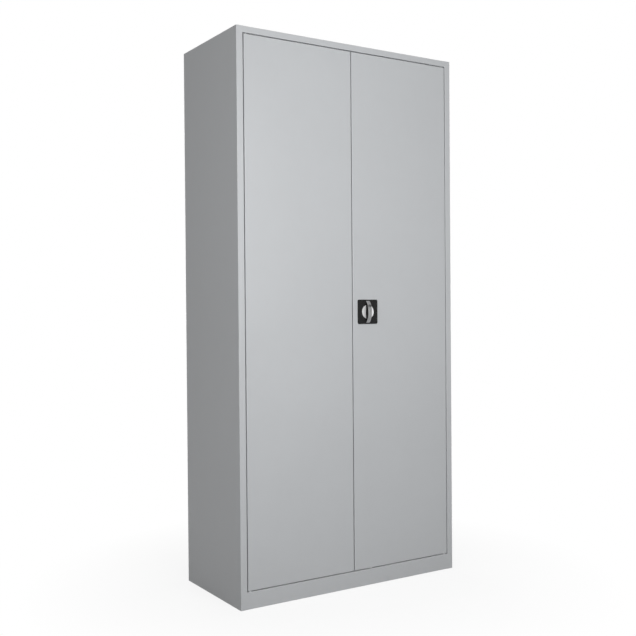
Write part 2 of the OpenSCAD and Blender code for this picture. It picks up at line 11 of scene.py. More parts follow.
import json
import logging
import math
from dataclasses import dataclass, field
from enum import Enum
from typing import Callable, Iterable, Sequence

import bmesh
import bpy
from mathutils import Matrix, Vector

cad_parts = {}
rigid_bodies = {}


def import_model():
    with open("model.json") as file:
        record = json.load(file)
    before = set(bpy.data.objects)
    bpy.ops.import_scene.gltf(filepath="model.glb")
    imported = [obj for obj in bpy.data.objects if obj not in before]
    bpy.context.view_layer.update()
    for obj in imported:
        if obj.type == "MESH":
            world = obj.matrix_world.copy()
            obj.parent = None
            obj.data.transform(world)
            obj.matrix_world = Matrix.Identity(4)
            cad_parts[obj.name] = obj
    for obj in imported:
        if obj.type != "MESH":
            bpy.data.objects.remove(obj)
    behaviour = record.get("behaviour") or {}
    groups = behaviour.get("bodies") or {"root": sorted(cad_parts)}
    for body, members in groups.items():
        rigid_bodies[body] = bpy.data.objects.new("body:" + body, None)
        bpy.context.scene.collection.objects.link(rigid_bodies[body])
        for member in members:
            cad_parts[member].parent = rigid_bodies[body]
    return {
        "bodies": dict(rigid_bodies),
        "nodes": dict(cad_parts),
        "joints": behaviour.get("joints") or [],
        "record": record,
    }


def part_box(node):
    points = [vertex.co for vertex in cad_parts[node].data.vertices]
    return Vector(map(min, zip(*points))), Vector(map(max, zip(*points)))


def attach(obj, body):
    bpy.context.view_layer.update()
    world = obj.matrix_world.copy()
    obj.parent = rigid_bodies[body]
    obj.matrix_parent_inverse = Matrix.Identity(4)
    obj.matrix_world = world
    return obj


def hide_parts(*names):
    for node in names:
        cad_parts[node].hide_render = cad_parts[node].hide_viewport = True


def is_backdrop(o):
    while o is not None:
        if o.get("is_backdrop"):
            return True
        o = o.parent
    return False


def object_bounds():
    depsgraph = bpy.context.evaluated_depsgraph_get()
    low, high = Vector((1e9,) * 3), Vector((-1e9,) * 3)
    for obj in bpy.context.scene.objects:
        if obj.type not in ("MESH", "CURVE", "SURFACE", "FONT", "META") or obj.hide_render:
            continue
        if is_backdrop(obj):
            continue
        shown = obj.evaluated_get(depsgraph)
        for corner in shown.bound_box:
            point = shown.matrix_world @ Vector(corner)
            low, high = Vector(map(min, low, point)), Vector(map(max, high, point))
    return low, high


log = logging.getLogger("tool_cabinet")

MM = 0.001
FULL_TURN = 2 * math.pi
WHITE = (1.0, 1.0, 1.0, 1.0)
Point = tuple[float, float, float]
Pair = tuple[float, float]
Colour = tuple[float, float, float, float]
Socket = bpy.types.NodeSocket
Node = bpy.types.Node
Vert, Edge, Face = bmesh.types.BMVert, bmesh.types.BMEdge, bmesh.types.BMFace


class Body(str, Enum):
    """The bodies of the frame that a piece can ride on."""

    CARCASS = "carcass"
    LEFT_DOOR = "left_door"
    RIGHT_DOOR = "right_door"
    HANDLE = "handle"
    KEY_PLUG = "key_plug"
    UPPER_ROD = "upper_rod"
    LOWER_ROD = "lower_rod"


class Slot(str, Enum):
    """The record's material slots."""

    PAINT = "body_paint"
    ZINC = "zinc_steel"
    BLACK = "black_plastic"
    RUBBER = "buffer_rubber"
    CHROME = "bright_chrome"
    SATIN = "satin_metal"
    NYLON = "white_nylon"


class Axis(Enum):
    """The lines that a piece can be turned about."""

    X = (1.0, 0.0, 0.0)
    Y = (0.0, 1.0, 0.0)
    Z = (0.0, 0.0, 1.0)


def grey(level: float, warmth: float = 0.0) -> Colour:
    """Turns a display grey into the linear colour that a shader takes.

    Args:
        level: Brightness on the 0 to 255 display scale.
        warmth: How far red rises and blue falls, on the same scale.

    Returns:
        The linear red, green, blue and alpha values.
    """
    def linear(value: float) -> float:
        """One channel from display to linear."""
        share = value / 255
        return share / 12.92 if share <= 0.04045 else ((share + 0.055) / 1.055) ** 2.4
    return (linear(level + warmth), linear(level), linear(level - warmth), 1.0)


class Graph:
    """Adds nodes to one node tree and joins them."""

    def __init__(self, tree: bpy.types.NodeTree) -> None:
        """Takes the tree that the nodes go into."""
        self.tree = tree

    @classmethod
    def emptied(cls, owner: bpy.types.Material | bpy.types.World) -> Graph:
        """Turns a material's or the world's nodes on and clears them.

        Args:
            owner: The material or the world.

        Returns:
            Its nodes.
        """
        owner.use_nodes = True
        owner.node_tree.nodes.clear()
        return cls(owner.node_tree)

    def add(self, kind: str, values: dict[str | int, object] | None = None, **settings: object) -> Node:
        """Adds a node and fills its inputs.

        Args:
            kind: The node's type name.
            values: What each input gets, by name or number: a socket is linked, anything else is its value.
            **settings: Attributes of the node itself.

        Returns:
            The new node.
        """
        node = self.tree.nodes.new(kind)
        for name, setting in settings.items():
            setattr(node, name, setting)
        for name, value in (values or {}).items():
            self.fill(node.inputs[name], value)
        return node

    def fill(self, socket: Socket, value: object) -> None:
        """Links one input to a socket, or sets it to any other value.

        Args:
            socket: The input.
            value: What it gets.
        """
        if isinstance(value, Socket):
            self.tree.links.new(value, socket)
        else:
            socket.default_value = value

    def feed(self, node: Node, values: dict[str, object]) -> None:
        """Fills a node's inputs, whose names are written with underscores."""
        for name, value in values.items():
            self.fill(node.inputs[name.replace("_", " ")], value)

    def maths(self, operation: str, first: object, second: object) -> Socket:
        """Adds a Math node and returns its result."""
        return self.add("ShaderNodeMath", {0: first, 1: second}, operation=operation).outputs[0]

    def plus(self, first: object, second: object) -> Socket:
        """Adds one value to another."""
        return self.maths("ADD", first, second)

    def times(self, first: object, second: object) -> Socket:
        """Multiplies one value by another."""
        return self.maths("MULTIPLY", first, second)

    def ramp(self, value: object, low: Pair, high: Pair) -> Socket:
        """Maps a value from one range to another.

        Args:
            value: The socket that is mapped.
            low: The input and the output at the low end.
            high: The input and the output at the high end.

        Returns:
            The clamped result.
        """
        node = self.add("ShaderNodeMapRange", {"Value": value, "From Min": low[0], "From Max": high[0],
                                               "To Min": low[1], "To Max": high[1]})
        return node.outputs["Result"]

    def mix(self, share: object, first: object, second: object) -> Socket:
        """Mixes two colours by a share and returns the colour."""
        return self.add("ShaderNodeMix", {0: share, 6: first, 7: second}, data_type="RGBA").outputs[2]

    def noise(self, where: object, scale: object, detail: float = 2.0, roughness: float = 0.5) -> Socket:
        """Adds a noise texture and returns its value."""
        return self.add("ShaderNodeTexNoise", {"Vector": where, "Scale": scale, "Detail": detail,
                                               "Roughness": roughness}).outputs[0]

    def stretched(self, where: object, scale: Point) -> Socket:
        """Scales coordinates apart from each other and returns them."""
        return self.add("ShaderNodeMapping", {"Vector": where, "Scale": scale}).outputs[0]


class Effect:
    """A named shader group that several finishes share, built the first time it is asked for."""

    def __init__(self, name: str, takes: dict[str, tuple[str, object]], gives: dict[str, str],
                 build: Callable[[Graph, dict, dict], None]) -> None:
        """Describes the group.

        Args:
            name: The group's name.
            takes: Each input with its socket type and first value.
            gives: Each output with its socket type.
            build: Makes the nodes between the two, given the graph, the inputs and the outputs.
        """
        self.name, self.takes, self.gives, self.build = name, takes, gives, build

    def tree(self) -> bpy.types.NodeTree:
        """Finds the group, or builds it.

        Returns:
            The group's node tree.
        """
        found = bpy.data.node_groups.get(self.name)
        if found:
            return found
        tree = bpy.data.node_groups.new(self.name, "ShaderNodeTree")
        for name, (kind, first) in self.takes.items():
            socket = tree.interface.new_socket(name, in_out="INPUT", socket_type=kind)
            if first is not None:
                socket.default_value = first
        for name, kind in self.gives.items():
            tree.interface.new_socket(name, in_out="OUTPUT", socket_type=kind)
        graph = Graph(tree)
        start, end = graph.add("NodeGroupInput"), graph.add("NodeGroupOutput")
        results: dict[str, Socket] = {}
        self.build(graph, {name: start.outputs[name] for name in self.takes}, results)
        for name, socket in results.items():
            tree.links.new(socket, end.inputs[name])
        return tree

    def place(self, graph: Graph, **values: object) -> Node:
        """Puts the group into a material.

        Args:
            graph: The material's nodes.
            **values: What each input gets, with underscores in its name.

        Returns:
            The group's node.
        """
        node = graph.add("ShaderNodeGroup", node_tree=self.tree())
        graph.feed(node, values)
        return node


FLOAT, COLOUR, VECTOR = "NodeSocketFloat", "NodeSocketColor", "NodeSocketVector"


def build_tone(graph: Graph, takes: dict, gives: dict) -> None:
    """Slow clouds of lighter and darker tone, as every coated or plated surface has.

    Args:
        graph: The group's nodes.
        takes: The group's inputs.
        gives: The group's outputs, which it fills.
    """
    broad = graph.noise(takes["Vector"], takes["Scale"], detail=3.0)
    fine = graph.noise(takes["Vector"], graph.times(takes["Scale"], 9.0), detail=4.0, roughness=0.6)
    both = graph.plus(graph.times(broad, 0.7), graph.times(fine, 0.3))
    swing = graph.ramp(both, (0.3, -1.0), (0.7, 1.0))
    gain = graph.plus(graph.times(swing, takes["Amount"]), 1.0)
    gives["Color"] = graph.add("ShaderNodeVectorMath", {0: takes["Color"], "Scale": gain},
                               operation="SCALE").outputs[0]
    gives["Mask"] = both


def build_peel(graph: Graph, takes: dict, gives: dict) -> None:
    """The small waves that baked powder keeps, with finer grit on top.

    Args:
        graph: The group's nodes.
        takes: The group's inputs.
        gives: The group's outputs, which it fills.
    """
    waves = graph.noise(takes["Vector"], takes["Scale"], detail=1.0)
    grit = graph.noise(takes["Vector"], graph.times(takes["Scale"], 4.0), detail=2.0)
    gives["Height"] = graph.plus(graph.times(waves, 0.75), graph.times(grit, 0.25))


def build_dust_and_low_shade(graph: Graph, takes: dict, gives: dict) -> None:
    """Dust that settles on faces that look up, in patches, and painted shade that darkens surfaces towards
    the floor.

    Args:
        graph: The group's nodes.
        takes: The group's inputs.
        gives: The group's outputs, which it fills.
    """
    normal = graph.add("ShaderNodeNewGeometry").outputs["Normal"]
    up = graph.add("ShaderNodeSeparateXYZ", {0: normal}).outputs["Z"]
    height = graph.add("ShaderNodeSeparateXYZ", {0: takes["Vector"]}).outputs["Z"]
    clouds = graph.noise(takes["Vector"], 14.0, detail=5.0, roughness=0.65)
    patches = graph.ramp(clouds, (0.35, 0.25), (0.7, 1.0))
    lying = graph.ramp(up, (0.2, 0.0), (0.9, 1.0))
    # Painted shade: this part of the mask rises towards the floor, so low surfaces take the darker colour as
    # shade.
    low = graph.ramp(height, (0.02, 0.6), (0.22, 0.0))
    total = graph.times(graph.maths("MAXIMUM", lying, low), patches)
    gives["Mask"] = graph.times(total, takes["Amount"])


def build_brushed(graph: Graph, takes: dict, gives: dict) -> None:
    """Long fine lines, drawn out by scaling the coordinates along the grain.

    Args:
        graph: The group's nodes.
        takes: The group's inputs.
        gives: The group's outputs, which it fills.
    """
    along = graph.add("ShaderNodeVectorMath", {0: takes["Vector"], 1: takes["Grain"]},
                      operation="MULTIPLY").outputs[0]
    coarse = graph.noise(along, 1.0, detail=3.0, roughness=0.7)
    fine = graph.noise(along, 3.7, detail=2.0)
    lines = graph.plus(graph.times(coarse, 0.6), graph.times(fine, 0.4))
    gives["Height"] = lines
    swing = graph.times(graph.maths("SUBTRACT", lines, 0.5), takes["Spread"])
    gives["Roughness"] = graph.plus(swing, takes["Roughness"])


def build_smudges(graph: Graph, takes: dict, gives: dict) -> None:
    """Faint handling marks that dull a bright surface in patches.

    Args:
        graph: The group's nodes.
        takes: The group's inputs.
        gives: The group's outputs, which it fills.
    """
    patches = graph.ramp(graph.noise(takes["Vector"], takes["Scale"], detail=6.0, roughness=0.62),
                         (0.45, 0.0), (0.75, 1.0))
    gives["Mask"] = patches
    gives["Roughness"] = graph.plus(graph.times(patches, takes["Spread"]), takes["Roughness"])


TONE = Effect("cloudy tone", {"Vector": (VECTOR, None), "Color": (COLOUR, (0.5, 0.5, 0.5, 1.0)),
                              "Scale": (FLOAT, 4.0), "Amount": (FLOAT, 0.04)},
              {"Color": COLOUR, "Mask": FLOAT}, build_tone)
PEEL = Effect("powder peel", {"Vector": (VECTOR, None), "Scale": (FLOAT, 600.0)},
              {"Height": FLOAT}, build_peel)
# Dust on faces that look up, plus painted shade near the floor.
DUST_AND_LOW_SHADE = Effect("settled dust and low shade", {"Vector": (VECTOR, None), "Amount": (FLOAT, 0.1)},
              {"Mask": FLOAT}, build_dust_and_low_shade)
BRUSHED = Effect("brushed lines", {"Vector": (VECTOR, None), "Grain": (VECTOR, (400.0, 400.0, 20.0)),
                                   "Roughness": (FLOAT, 0.3), "Spread": (FLOAT, 0.3)},
                 {"Height": FLOAT, "Roughness": FLOAT}, build_brushed)
SMUDGES = Effect("handling smudges", {"Vector": (VECTOR, None), "Scale": (FLOAT, 60.0),
                                      "Roughness": (FLOAT, 0.08), "Spread": (FLOAT, 0.12)},
                 {"Mask": FLOAT, "Roughness": FLOAT}, build_smudges)


@dataclass(frozen=True)
class Finish:
    """What every finish has: its name, its slot in the record and its colour."""

    name: str
    slot: Slot
    colour: Colour

    def make(self) -> bpy.types.Material:
        """Finds the finish's material, or builds it.

        Returns:
            The node-based material.
        """
        found = bpy.data.materials.get(self.name)
        if found:
            return found
        material = bpy.data.materials.new(self.name)
        graph = Graph.emptied(material)
        where = graph.add("ShaderNodeTexCoord").outputs["Object"]
        shader = graph.add("ShaderNodeBsdfPrincipled")
        graph.feed(shader, self.shade(graph, where))
        graph.add("ShaderNodeOutputMaterial", {"Surface": shader.outputs[0]})
        material.diffuse_color = self.colour
        return material

    def shade(self, graph: Graph, where: Socket) -> dict[str, object]:
        """Works out the surface. Each finish has its own way.

        Args:
            graph: The material's nodes.
            where: Object coordinates.

        Returns:
            What each input of the Principled shader gets, with underscores in its name.
        """
        raise NotImplementedError

    @staticmethod
    def bump(graph: Graph, height: object, strength: float, distance: float) -> Socket:
        """Turns a height into a normal.

        Args:
            graph: The material's nodes.
            height: The height, from 0 to 1.
            strength: How much of it shows.
            distance: The height in metres that 1 stands for.

        Returns:
            The normal.
        """
        return graph.add("ShaderNodeBump", {"Strength": strength, "Distance": distance,
                                            "Height": height}).outputs["Normal"]


@dataclass(frozen=True)
class PowderCoat(Finish):
    """Baked powder paint with a fine peel, a soft sheen, a little dust and painted shade near the floor."""

    roughness: float = 0.42
    peel_per_metre: float = 520.0
    peel_height: float = 0.00004
    cloud: float = 0.018
    # How much dust, and painted shade near the floor, the paint takes.
    dust_and_low_shade: float = 0.16

    def shade(self, graph: Graph, where: Socket) -> dict[str, object]:
        """Tones, peels and dusts the paint, and darkens it near the floor as painted shade.

        Args:
            graph: The material's nodes.
            where: Object coordinates.

        Returns:
            What each input of the shader gets.
        """
        tone = TONE.place(graph, Vector=where, Color=self.colour, Scale=2.6, Amount=self.cloud)
        dust_and_low_shade = DUST_AND_LOW_SHADE.place(graph, Vector=where, Amount=self.dust_and_low_shade).outputs["Mask"]
        peel = PEEL.place(graph, Vector=where, Scale=self.peel_per_metre).outputs["Height"]
        rough = graph.ramp(tone.outputs["Mask"], (0.3, self.roughness - 0.03), (0.7, self.roughness + 0.04))
        # The darker grey is dust on upward faces and painted shade near the floor.
        return {"Base_Color": graph.mix(dust_and_low_shade, tone.outputs["Color"], grey(176, 4)),
                "Roughness": graph.plus(rough, graph.times(dust_and_low_shade, 0.5)), "Specular_IOR_Level": 0.45,
                "Normal": self.bump(graph, peel, 0.5, self.peel_height)}


@dataclass(frozen=True)
class ZincPlate(Finish):
    """Bright zinc on steel: a cool metal with cloudy crystals and drawn lines."""

    grain: Point = (900.0, 900.0, 60.0)
    roughness: float = 0.36

    def shade(self, graph: Graph, where: Socket) -> dict[str, object]:
        """Clouds the plate and draws its lines.

        Args:
            graph: The material's nodes.
            where: Object coordinates.

        Returns:
            What each input of the shader gets.
        """
        tone = TONE.place(graph, Vector=where, Color=self.colour, Scale=70.0, Amount=0.10)
        lines = BRUSHED.place(graph, Vector=where, Grain=self.grain, Roughness=self.roughness, Spread=0.28)
        tint = graph.ramp(graph.noise(where, 34.0, detail=3.0), (0.35, 0.0), (0.75, 0.22))
        # The darker grey is dust on upward faces and painted shade near the floor.
        dust_and_low_shade = DUST_AND_LOW_SHADE.place(graph, Vector=where, Amount=0.25).outputs["Mask"]
        colour = graph.mix(tint, tone.outputs["Color"], (0.62, 0.60, 0.50, 1.0))
        return {"Base_Color": graph.mix(dust_and_low_shade, colour, grey(150, 3)), "Metallic": 1.0,
                "Roughness": graph.plus(lines.outputs["Roughness"], graph.times(dust_and_low_shade, 0.3)),
                "Normal": self.bump(graph, lines.outputs["Height"], 0.25, 0.00003)}


@dataclass(frozen=True)
class MouldedPlastic(Finish):
    """Moulded plastic with the fine grain of a spark-eroded tool."""

    roughness: float = 0.46
    grain_per_metre: float = 1500.0
    grain_height: float = 0.00003
    dust_and_low_shade: float = 0.05
    gloss: float = 0.5

    def shade(self, graph: Graph, where: Socket) -> dict[str, object]:
        """Grains the plastic and rubs it smoother in patches.

        Args:
            graph: The material's nodes.
            where: Object coordinates.

        Returns:
            What each input of the shader gets.
        """
        tone = TONE.place(graph, Vector=where, Color=self.colour, Scale=45.0, Amount=0.12)
        grain = PEEL.place(graph, Vector=where, Scale=self.grain_per_metre).outputs["Height"]
        rub = SMUDGES.place(graph, Vector=where, Scale=55.0, Roughness=self.roughness, Spread=-0.12)
        # The grey is dust on upward faces; the same mask's painted floor shade also greys the plastic near
        # the floor.
        dust_and_low_shade = DUST_AND_LOW_SHADE.place(graph, Vector=where, Amount=self.dust_and_low_shade).outputs["Mask"]
        return {"Base_Color": graph.mix(dust_and_low_shade, tone.outputs["Color"], grey(140, 4)),
                "Roughness": rub.outputs["Roughness"], "Specular_IOR_Level": self.gloss,
                "Normal": self.bump(graph, grain, 0.6, self.grain_height)}


@dataclass(frozen=True)
class BrightChrome(Finish):
    """Polished chrome with faint smudges and a trace of polishing lines."""

    roughness: float = 0.07

    def shade(self, graph: Graph, where: Socket) -> dict[str, object]:
        """Smudges the chrome and gives it its polishing lines.

        Args:
            graph: The material's nodes.
            where: Object coordinates.

        Returns:
            What each input of the shader gets.
        """
        tone = TONE.place(graph, Vector=where, Color=self.colour, Scale=50.0, Amount=0.02)
        marks = SMUDGES.place(graph, Vector=where, Scale=70.0, Roughness=self.roughness, Spread=0.10)
        lines = BRUSHED.place(graph, Vector=where, Grain=(2600.0, 2600.0, 300.0), Roughness=0.1, Spread=0.1)
        return {"Base_Color": tone.outputs["Color"], "Metallic": 1.0, "Roughness": marks.outputs["Roughness"],
                "Normal": self.bump(graph, lines.outputs["Height"], 0.04, 0.00001)}


@dataclass(frozen=True)
class PearlChrome(Finish):
    """Satin chrome spun on a lathe: fine rings round one line under a milky coat."""

    centre: Point = (0.0645, 0.0, 0.994)
    metal: float = 0.4
    roughness: float = 0.34
    rings_per_metre: float = 1900.0

    def shade(self, graph: Graph, where: Socket) -> dict[str, object]:
        """Spins rings into the chrome about its centre.

        Args:
            graph: The material's nodes.
            where: Object coordinates.

        Returns:
            What each input of the shader gets.
        """
        tone = TONE.place(graph, Vector=where, Color=self.colour, Scale=60.0, Amount=0.03)
        marks = SMUDGES.place(graph, Vector=where, Scale=80.0, Roughness=self.roughness, Spread=0.08)
        centred = graph.add("ShaderNodeVectorMath", {0: where, 1: self.centre},
                            operation="SUBTRACT").outputs[0]
        flat = graph.stretched(centred, (self.rings_per_metre, 0.0, self.rings_per_metre))
        radius = graph.add("ShaderNodeVectorMath", {0: flat}, operation="LENGTH").outputs["Value"]
        rings = graph.noise(graph.add("ShaderNodeCombineXYZ", {0: radius}).outputs[0], 1.0, detail=2.0)
        return {"Base_Color": tone.outputs["Color"], "Metallic": self.metal,
                "Roughness": marks.outputs["Roughness"], "Normal": self.bump(graph, rings, 0.12, 0.00002)}


@dataclass(frozen=True)
class SatinMetal(Finish):
    """Fine blasted or brushed metal that is dull along one way."""

    grain: Point = (2400.0, 2400.0, 90.0)
    roughness: float = 0.30

    def shade(self, graph: Graph, where: Socket) -> dict[str, object]:
        """Brushes the metal and wears it in patches.

        Args:
            graph: The material's nodes.
            where: Object coordinates.

        Returns:
            What each input of the shader gets.
        """
        tone = TONE.place(graph, Vector=where, Color=self.colour, Scale=90.0, Amount=0.05)
        lines = BRUSHED.place(graph, Vector=where, Grain=self.grain, Roughness=self.roughness, Spread=0.16)
        worn = SMUDGES.place(graph, Vector=where, Scale=90.0, Roughness=0.0, Spread=0.1)
        share = graph.times(worn.outputs["Mask"], 0.2)
        return {"Base_Color": graph.mix(share, tone.outputs["Color"], grey(215)), "Metallic": 1.0,
                "Roughness": lines.outputs["Roughness"],
                "Normal": self.bump(graph, lines.outputs["Height"], 0.18, 0.00002)}


@dataclass(frozen=True)
class SoftRubber(Finish):
    """Dull black rubber with a bloom and a fine pitted skin."""

    def shade(self, graph: Graph, where: Socket) -> dict[str, object]:
        """Pits the rubber and lays a bloom on it.

        Args:
            graph: The material's nodes.
            where: Object coordinates.

        Returns:
            What each input of the shader gets.
        """
        bloom = SMUDGES.place(graph, Vector=where, Scale=240.0, Roughness=0.72, Spread=0.15)
        pits = PEEL.place(graph, Vector=where, Scale=2200.0).outputs["Height"]
        share = graph.times(bloom.outputs["Mask"], 0.35)
        return {"Base_Color": graph.mix(share, self.colour, grey(92)),
                "Roughness": bloom.outputs["Roughness"],
                "Normal": self.bump(graph, pits, 0.7, 0.00004)}


PAINT = PowderCoat("paint_light_grey", Slot.PAINT, grey(203, -2.4), roughness=0.38)
ZINC = ZincPlate("zinc_plate", Slot.ZINC, grey(196, -1.5))
ZINC_SHEET = ZincPlate("zinc_plate_sheet", Slot.ZINC, grey(200, -1.5), grain=(1200.0, 40.0, 1200.0),
                       roughness=0.34)
BLACK = MouldedPlastic("plastic_black", Slot.BLACK, grey(17, -0.6), gloss=0.2)
CHROME = BrightChrome("chrome_bright", Slot.CHROME, grey(240, -0.6))
DARK_CHROME = BrightChrome("chrome_black", Slot.CHROME, grey(52, -0.6), roughness=0.26)
PLUG_CHROME = BrightChrome("chrome_plug", Slot.CHROME, grey(104, -0.6), roughness=0.3)
SPUN = PearlChrome("chrome_spun", Slot.CHROME, grey(236, -0.6))
SATIN = SatinMetal("satin_grip", Slot.SATIN, grey(140, -0.8))
RUBBER = SoftRubber("rubber_black", Slot.RUBBER, grey(48))
NYLON = MouldedPlastic("nylon_natural", Slot.NYLON, grey(232, 3.0), roughness=0.4, grain_height=0.00002,
                       dust_and_low_shade=0.1)
FINISHES = {finish.slot: finish for finish in (PAINT, ZINC, BLACK, CHROME, SATIN, RUBBER, NYLON)}


class Blank:
    """One piece while it is being shaped, in millimetres."""

    def __init__(self, name: str) -> None:
        """Starts an empty piece under its name."""
        self.name = name
        self.bm = bmesh.new()

    def _new_since(self, before: set) -> list[Vert]:
        """The vertices that weren't there before."""
        return [vert for vert in self.bm.verts if vert not in before]

    def turned(self, outline: Sequence[Pair], centre: Point, axis: Axis = Axis.Y,
               steps: int = 64) -> list[Vert]:
        """Spins an outline full round an axis.

        Args:
            outline: Pairs of radius and place along the axis.
            centre: The point on the axis from which the places count.
            axis: The line it turns about.
            steps: How many sides the round has.

        Returns:
            The new vertices.
        """
        before = set(self.bm.verts)
        along = Vector(axis.value)
        out = Vector(Axis.Z.value) if axis is not Axis.Z else Vector(Axis.X.value)
        line = [self.bm.verts.new(Vector(centre) + out * radius + along * place) for radius, place in outline]
        edges = [self.bm.edges.new(pair) for pair in zip(line, line[1:])]
        bmesh.ops.spin(self.bm, geom=line + edges, cent=centre, axis=along, dvec=(0, 0, 0), angle=FULL_TURN,
                       steps=steps, use_merge=True, use_duplicate=False)
        fresh = self._new_since(before)
        bmesh.ops.remove_doubles(self.bm, verts=fresh, dist=0.0005)
        return self._new_since(before)

    def rounded_face(self, width: float, height: float, radius: float, placed: Matrix,
                     segments: int = 6) -> Face:
        """Makes a flat rectangle with round corners.

        Args:
            width: Size along the piece's own x.
            height: Size along the piece's own y.
            radius: Corner radius.
            placed: Where the face goes.
            segments: Faces in each corner's round.

        Returns:
            The one face.
        """
        before_faces = set(self.bm.faces)
        before = set(self.bm.verts)
        bmesh.ops.create_grid(self.bm, x_segments=1, y_segments=1, size=0.5)
        corners = self._new_since(before)
        bmesh.ops.scale(self.bm, vec=(width, height, 1), verts=corners)
        bmesh.ops.bevel(self.bm, geom=corners, offset=radius, offset_type="OFFSET", affect="VERTICES",
                        segments=segments, profile=0.5, material=-1, clamp_overlap=True)
        bmesh.ops.transform(self.bm, matrix=placed, verts=self._new_since(before))
        return next(face for face in self.bm.faces if face not in before_faces)

    def rounded_rim(self, width: float, height: float, radius: float, placed: Matrix,
                    segments: int = 6) -> list[Edge]:
        """Makes only the edges of a flat rectangle with round corners.

        Args:
            width: Size along the piece's own x.
            height: Size along the piece's own y.
            radius: Corner radius.
            placed: Where it goes.
            segments: Edges in each corner's round.

        Returns:
            The edges.
        """
        face = self.rounded_face(width, height, radius, placed, segments)
        rim = list(face.edges)
        bmesh.ops.delete(self.bm, geom=[face], context="FACES_ONLY")
        return rim

    def drawn_out(self, faces: Iterable[Face], by: Point) -> list[Face]:
        """Draws faces out into a solid and keeps the first faces as its back.

        Args:
            faces: The faces to draw out.
            by: How far they go.

        Returns:
            The faces at the far end.
        """
        start = list(faces)
        drawn = bmesh.ops.extrude_face_region(self.bm, geom=start, use_keep_orig=True)["geom"]
        bmesh.ops.translate(self.bm, vec=by, verts=[one for one in drawn if isinstance(one, Vert)])
        return [one for one in drawn if isinstance(one, Face)]

    def block(self, low: Point, high: Point) -> list[Vert]:
        """Makes a box.

        Args:
            low: Its lowest corner.
            high: Its highest corner.

        Returns:
            Its vertices.
        """
        middle = [(a + b) / 2 for a, b in zip(low, high)]
        size = [b - a for a, b in zip(low, high)]
        made = bmesh.ops.create_cube(self.bm, size=1.0)["verts"]
        bmesh.ops.scale(self.bm, vec=size, verts=made)
        bmesh.ops.translate(self.bm, vec=middle, verts=made)
        return made

    def softened(self, edges: Iterable[Edge], offset: float, segments: int = 3) -> None:
        """Rounds edges off."""
        bmesh.ops.bevel(self.bm, geom=list(edges), offset=offset, offset_type="OFFSET", affect="EDGES",
                        segments=segments, profile=0.5, material=-1, clamp_overlap=True)

    def circle(self, radius: float, placed: Matrix, segments: int) -> list[Edge]:
        """Draws a bare circle.

        Args:
            radius: Its radius.
            placed: Where it goes.
            segments: How many edges it has.

        Returns:
            Its edges.
        """
        before = set(self.bm.edges)
        bmesh.ops.create_circle(self.bm, cap_ends=False, radius=radius, segments=segments, matrix=placed)
        return [edge for edge in self.bm.edges if edge not in before]

    def joined(self, one: Sequence[Edge], other: Sequence[Edge]) -> None:
        """Closes the band between two loops of edges."""
        bmesh.ops.bridge_loops(self.bm, edges=list(one) + list(other))

    def band(self, loop: Sequence[Edge]) -> tuple[list[Vert], list[Edge]]:
        """Draws a band from a loop of edges, with its far side still on the loop.

        Args:
            loop: The edges.

        Returns:
            The vertices and the edges of the far side.
        """
        drawn = bmesh.ops.extrude_edge_only(self.bm, edges=list(loop))["geom"]
        verts = [one for one in drawn if isinstance(one, Vert)]
        far = set(verts)
        return verts, [one for one in drawn if isinstance(one, Edge) and far.issuperset(one.verts)]

    def walled(self, loop: Sequence[Edge], depth: float) -> list[Edge]:
        """Draws a wall back from a loop.

        Args:
            loop: The edges at its front.
            depth: How far back it goes.

        Returns:
            The edges at its back.
        """
        verts, far = self.band(loop)
        bmesh.ops.translate(self.bm, vec=(0, depth, 0), verts=verts)
        return far

    def edges_of(self, verts: Iterable[Vert]) -> list[Edge]:
        """The edges that lie wholly between some vertices."""
        shape = set(verts)
        return [edge for edge in self.bm.edges if shape.issuperset(edge.verts)]

    def repeated(self, verts: Sequence[Vert], moves: Iterable[Point]) -> None:
        """Copies a shape to several places.

        Args:
            verts: The shape's vertices.
            moves: How far each copy goes from it.
        """
        shape = set(verts)
        faces = [face for face in self.bm.faces if shape.issuperset(face.verts)]
        geom = list(verts) + self.edges_of(verts) + faces
        for move in moves:
            copy = bmesh.ops.duplicate(self.bm, geom=geom)["geom"]
            bmesh.ops.translate(self.bm, vec=move, verts=[one for one in copy if isinstance(one, Vert)])

    def finished(self, body: Body, finish: Finish, replaces: Sequence[str] = (), crease: float = 35.0,
                 ) -> bpy.types.Object:
        """Closes the piece, brings it to metres and hands it to the frame.

        Args:
            body: What the piece moves with.
            finish: The finish it wears.
            replaces: The frame's nodes that it stands for.
            crease: Faces that meet at more than this angle in degrees stay crisp.

        Returns:
            The piece's object, at the origin.
        """
        bmesh.ops.remove_doubles(self.bm, verts=list(self.bm.verts), dist=0.0005)
        bmesh.ops.recalc_face_normals(self.bm, faces=list(self.bm.faces))
        bmesh.ops.scale(self.bm, vec=(MM, MM, MM), verts=list(self.bm.verts))
        mesh = bpy.data.meshes.new(self.name)
        self.bm.to_mesh(mesh)
        self.bm.free()
        mesh.shade_smooth()
        mesh.set_sharp_from_angle(angle=math.radians(crease))
        mesh.materials.append(finish.make())
        piece = bpy.data.objects.new(self.name, mesh)
        bpy.context.scene.collection.objects.link(piece)
        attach(piece, body.value)
        if replaces:
            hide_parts(*replaces)
        log.info("%s: %d triangles, rides on %s", self.name, sum(len(p.vertices) - 2 for p in mesh.polygons),
                 body.value)
        return piece


def facing_front(x: float, y: float, z: float) -> Matrix:
    """Lays a flat shape upright, so that it faces the front of the cabinet at a place."""
    return Matrix.Translation((x, y, z)) @ Matrix.Rotation(math.pi / 2, 4, "X")


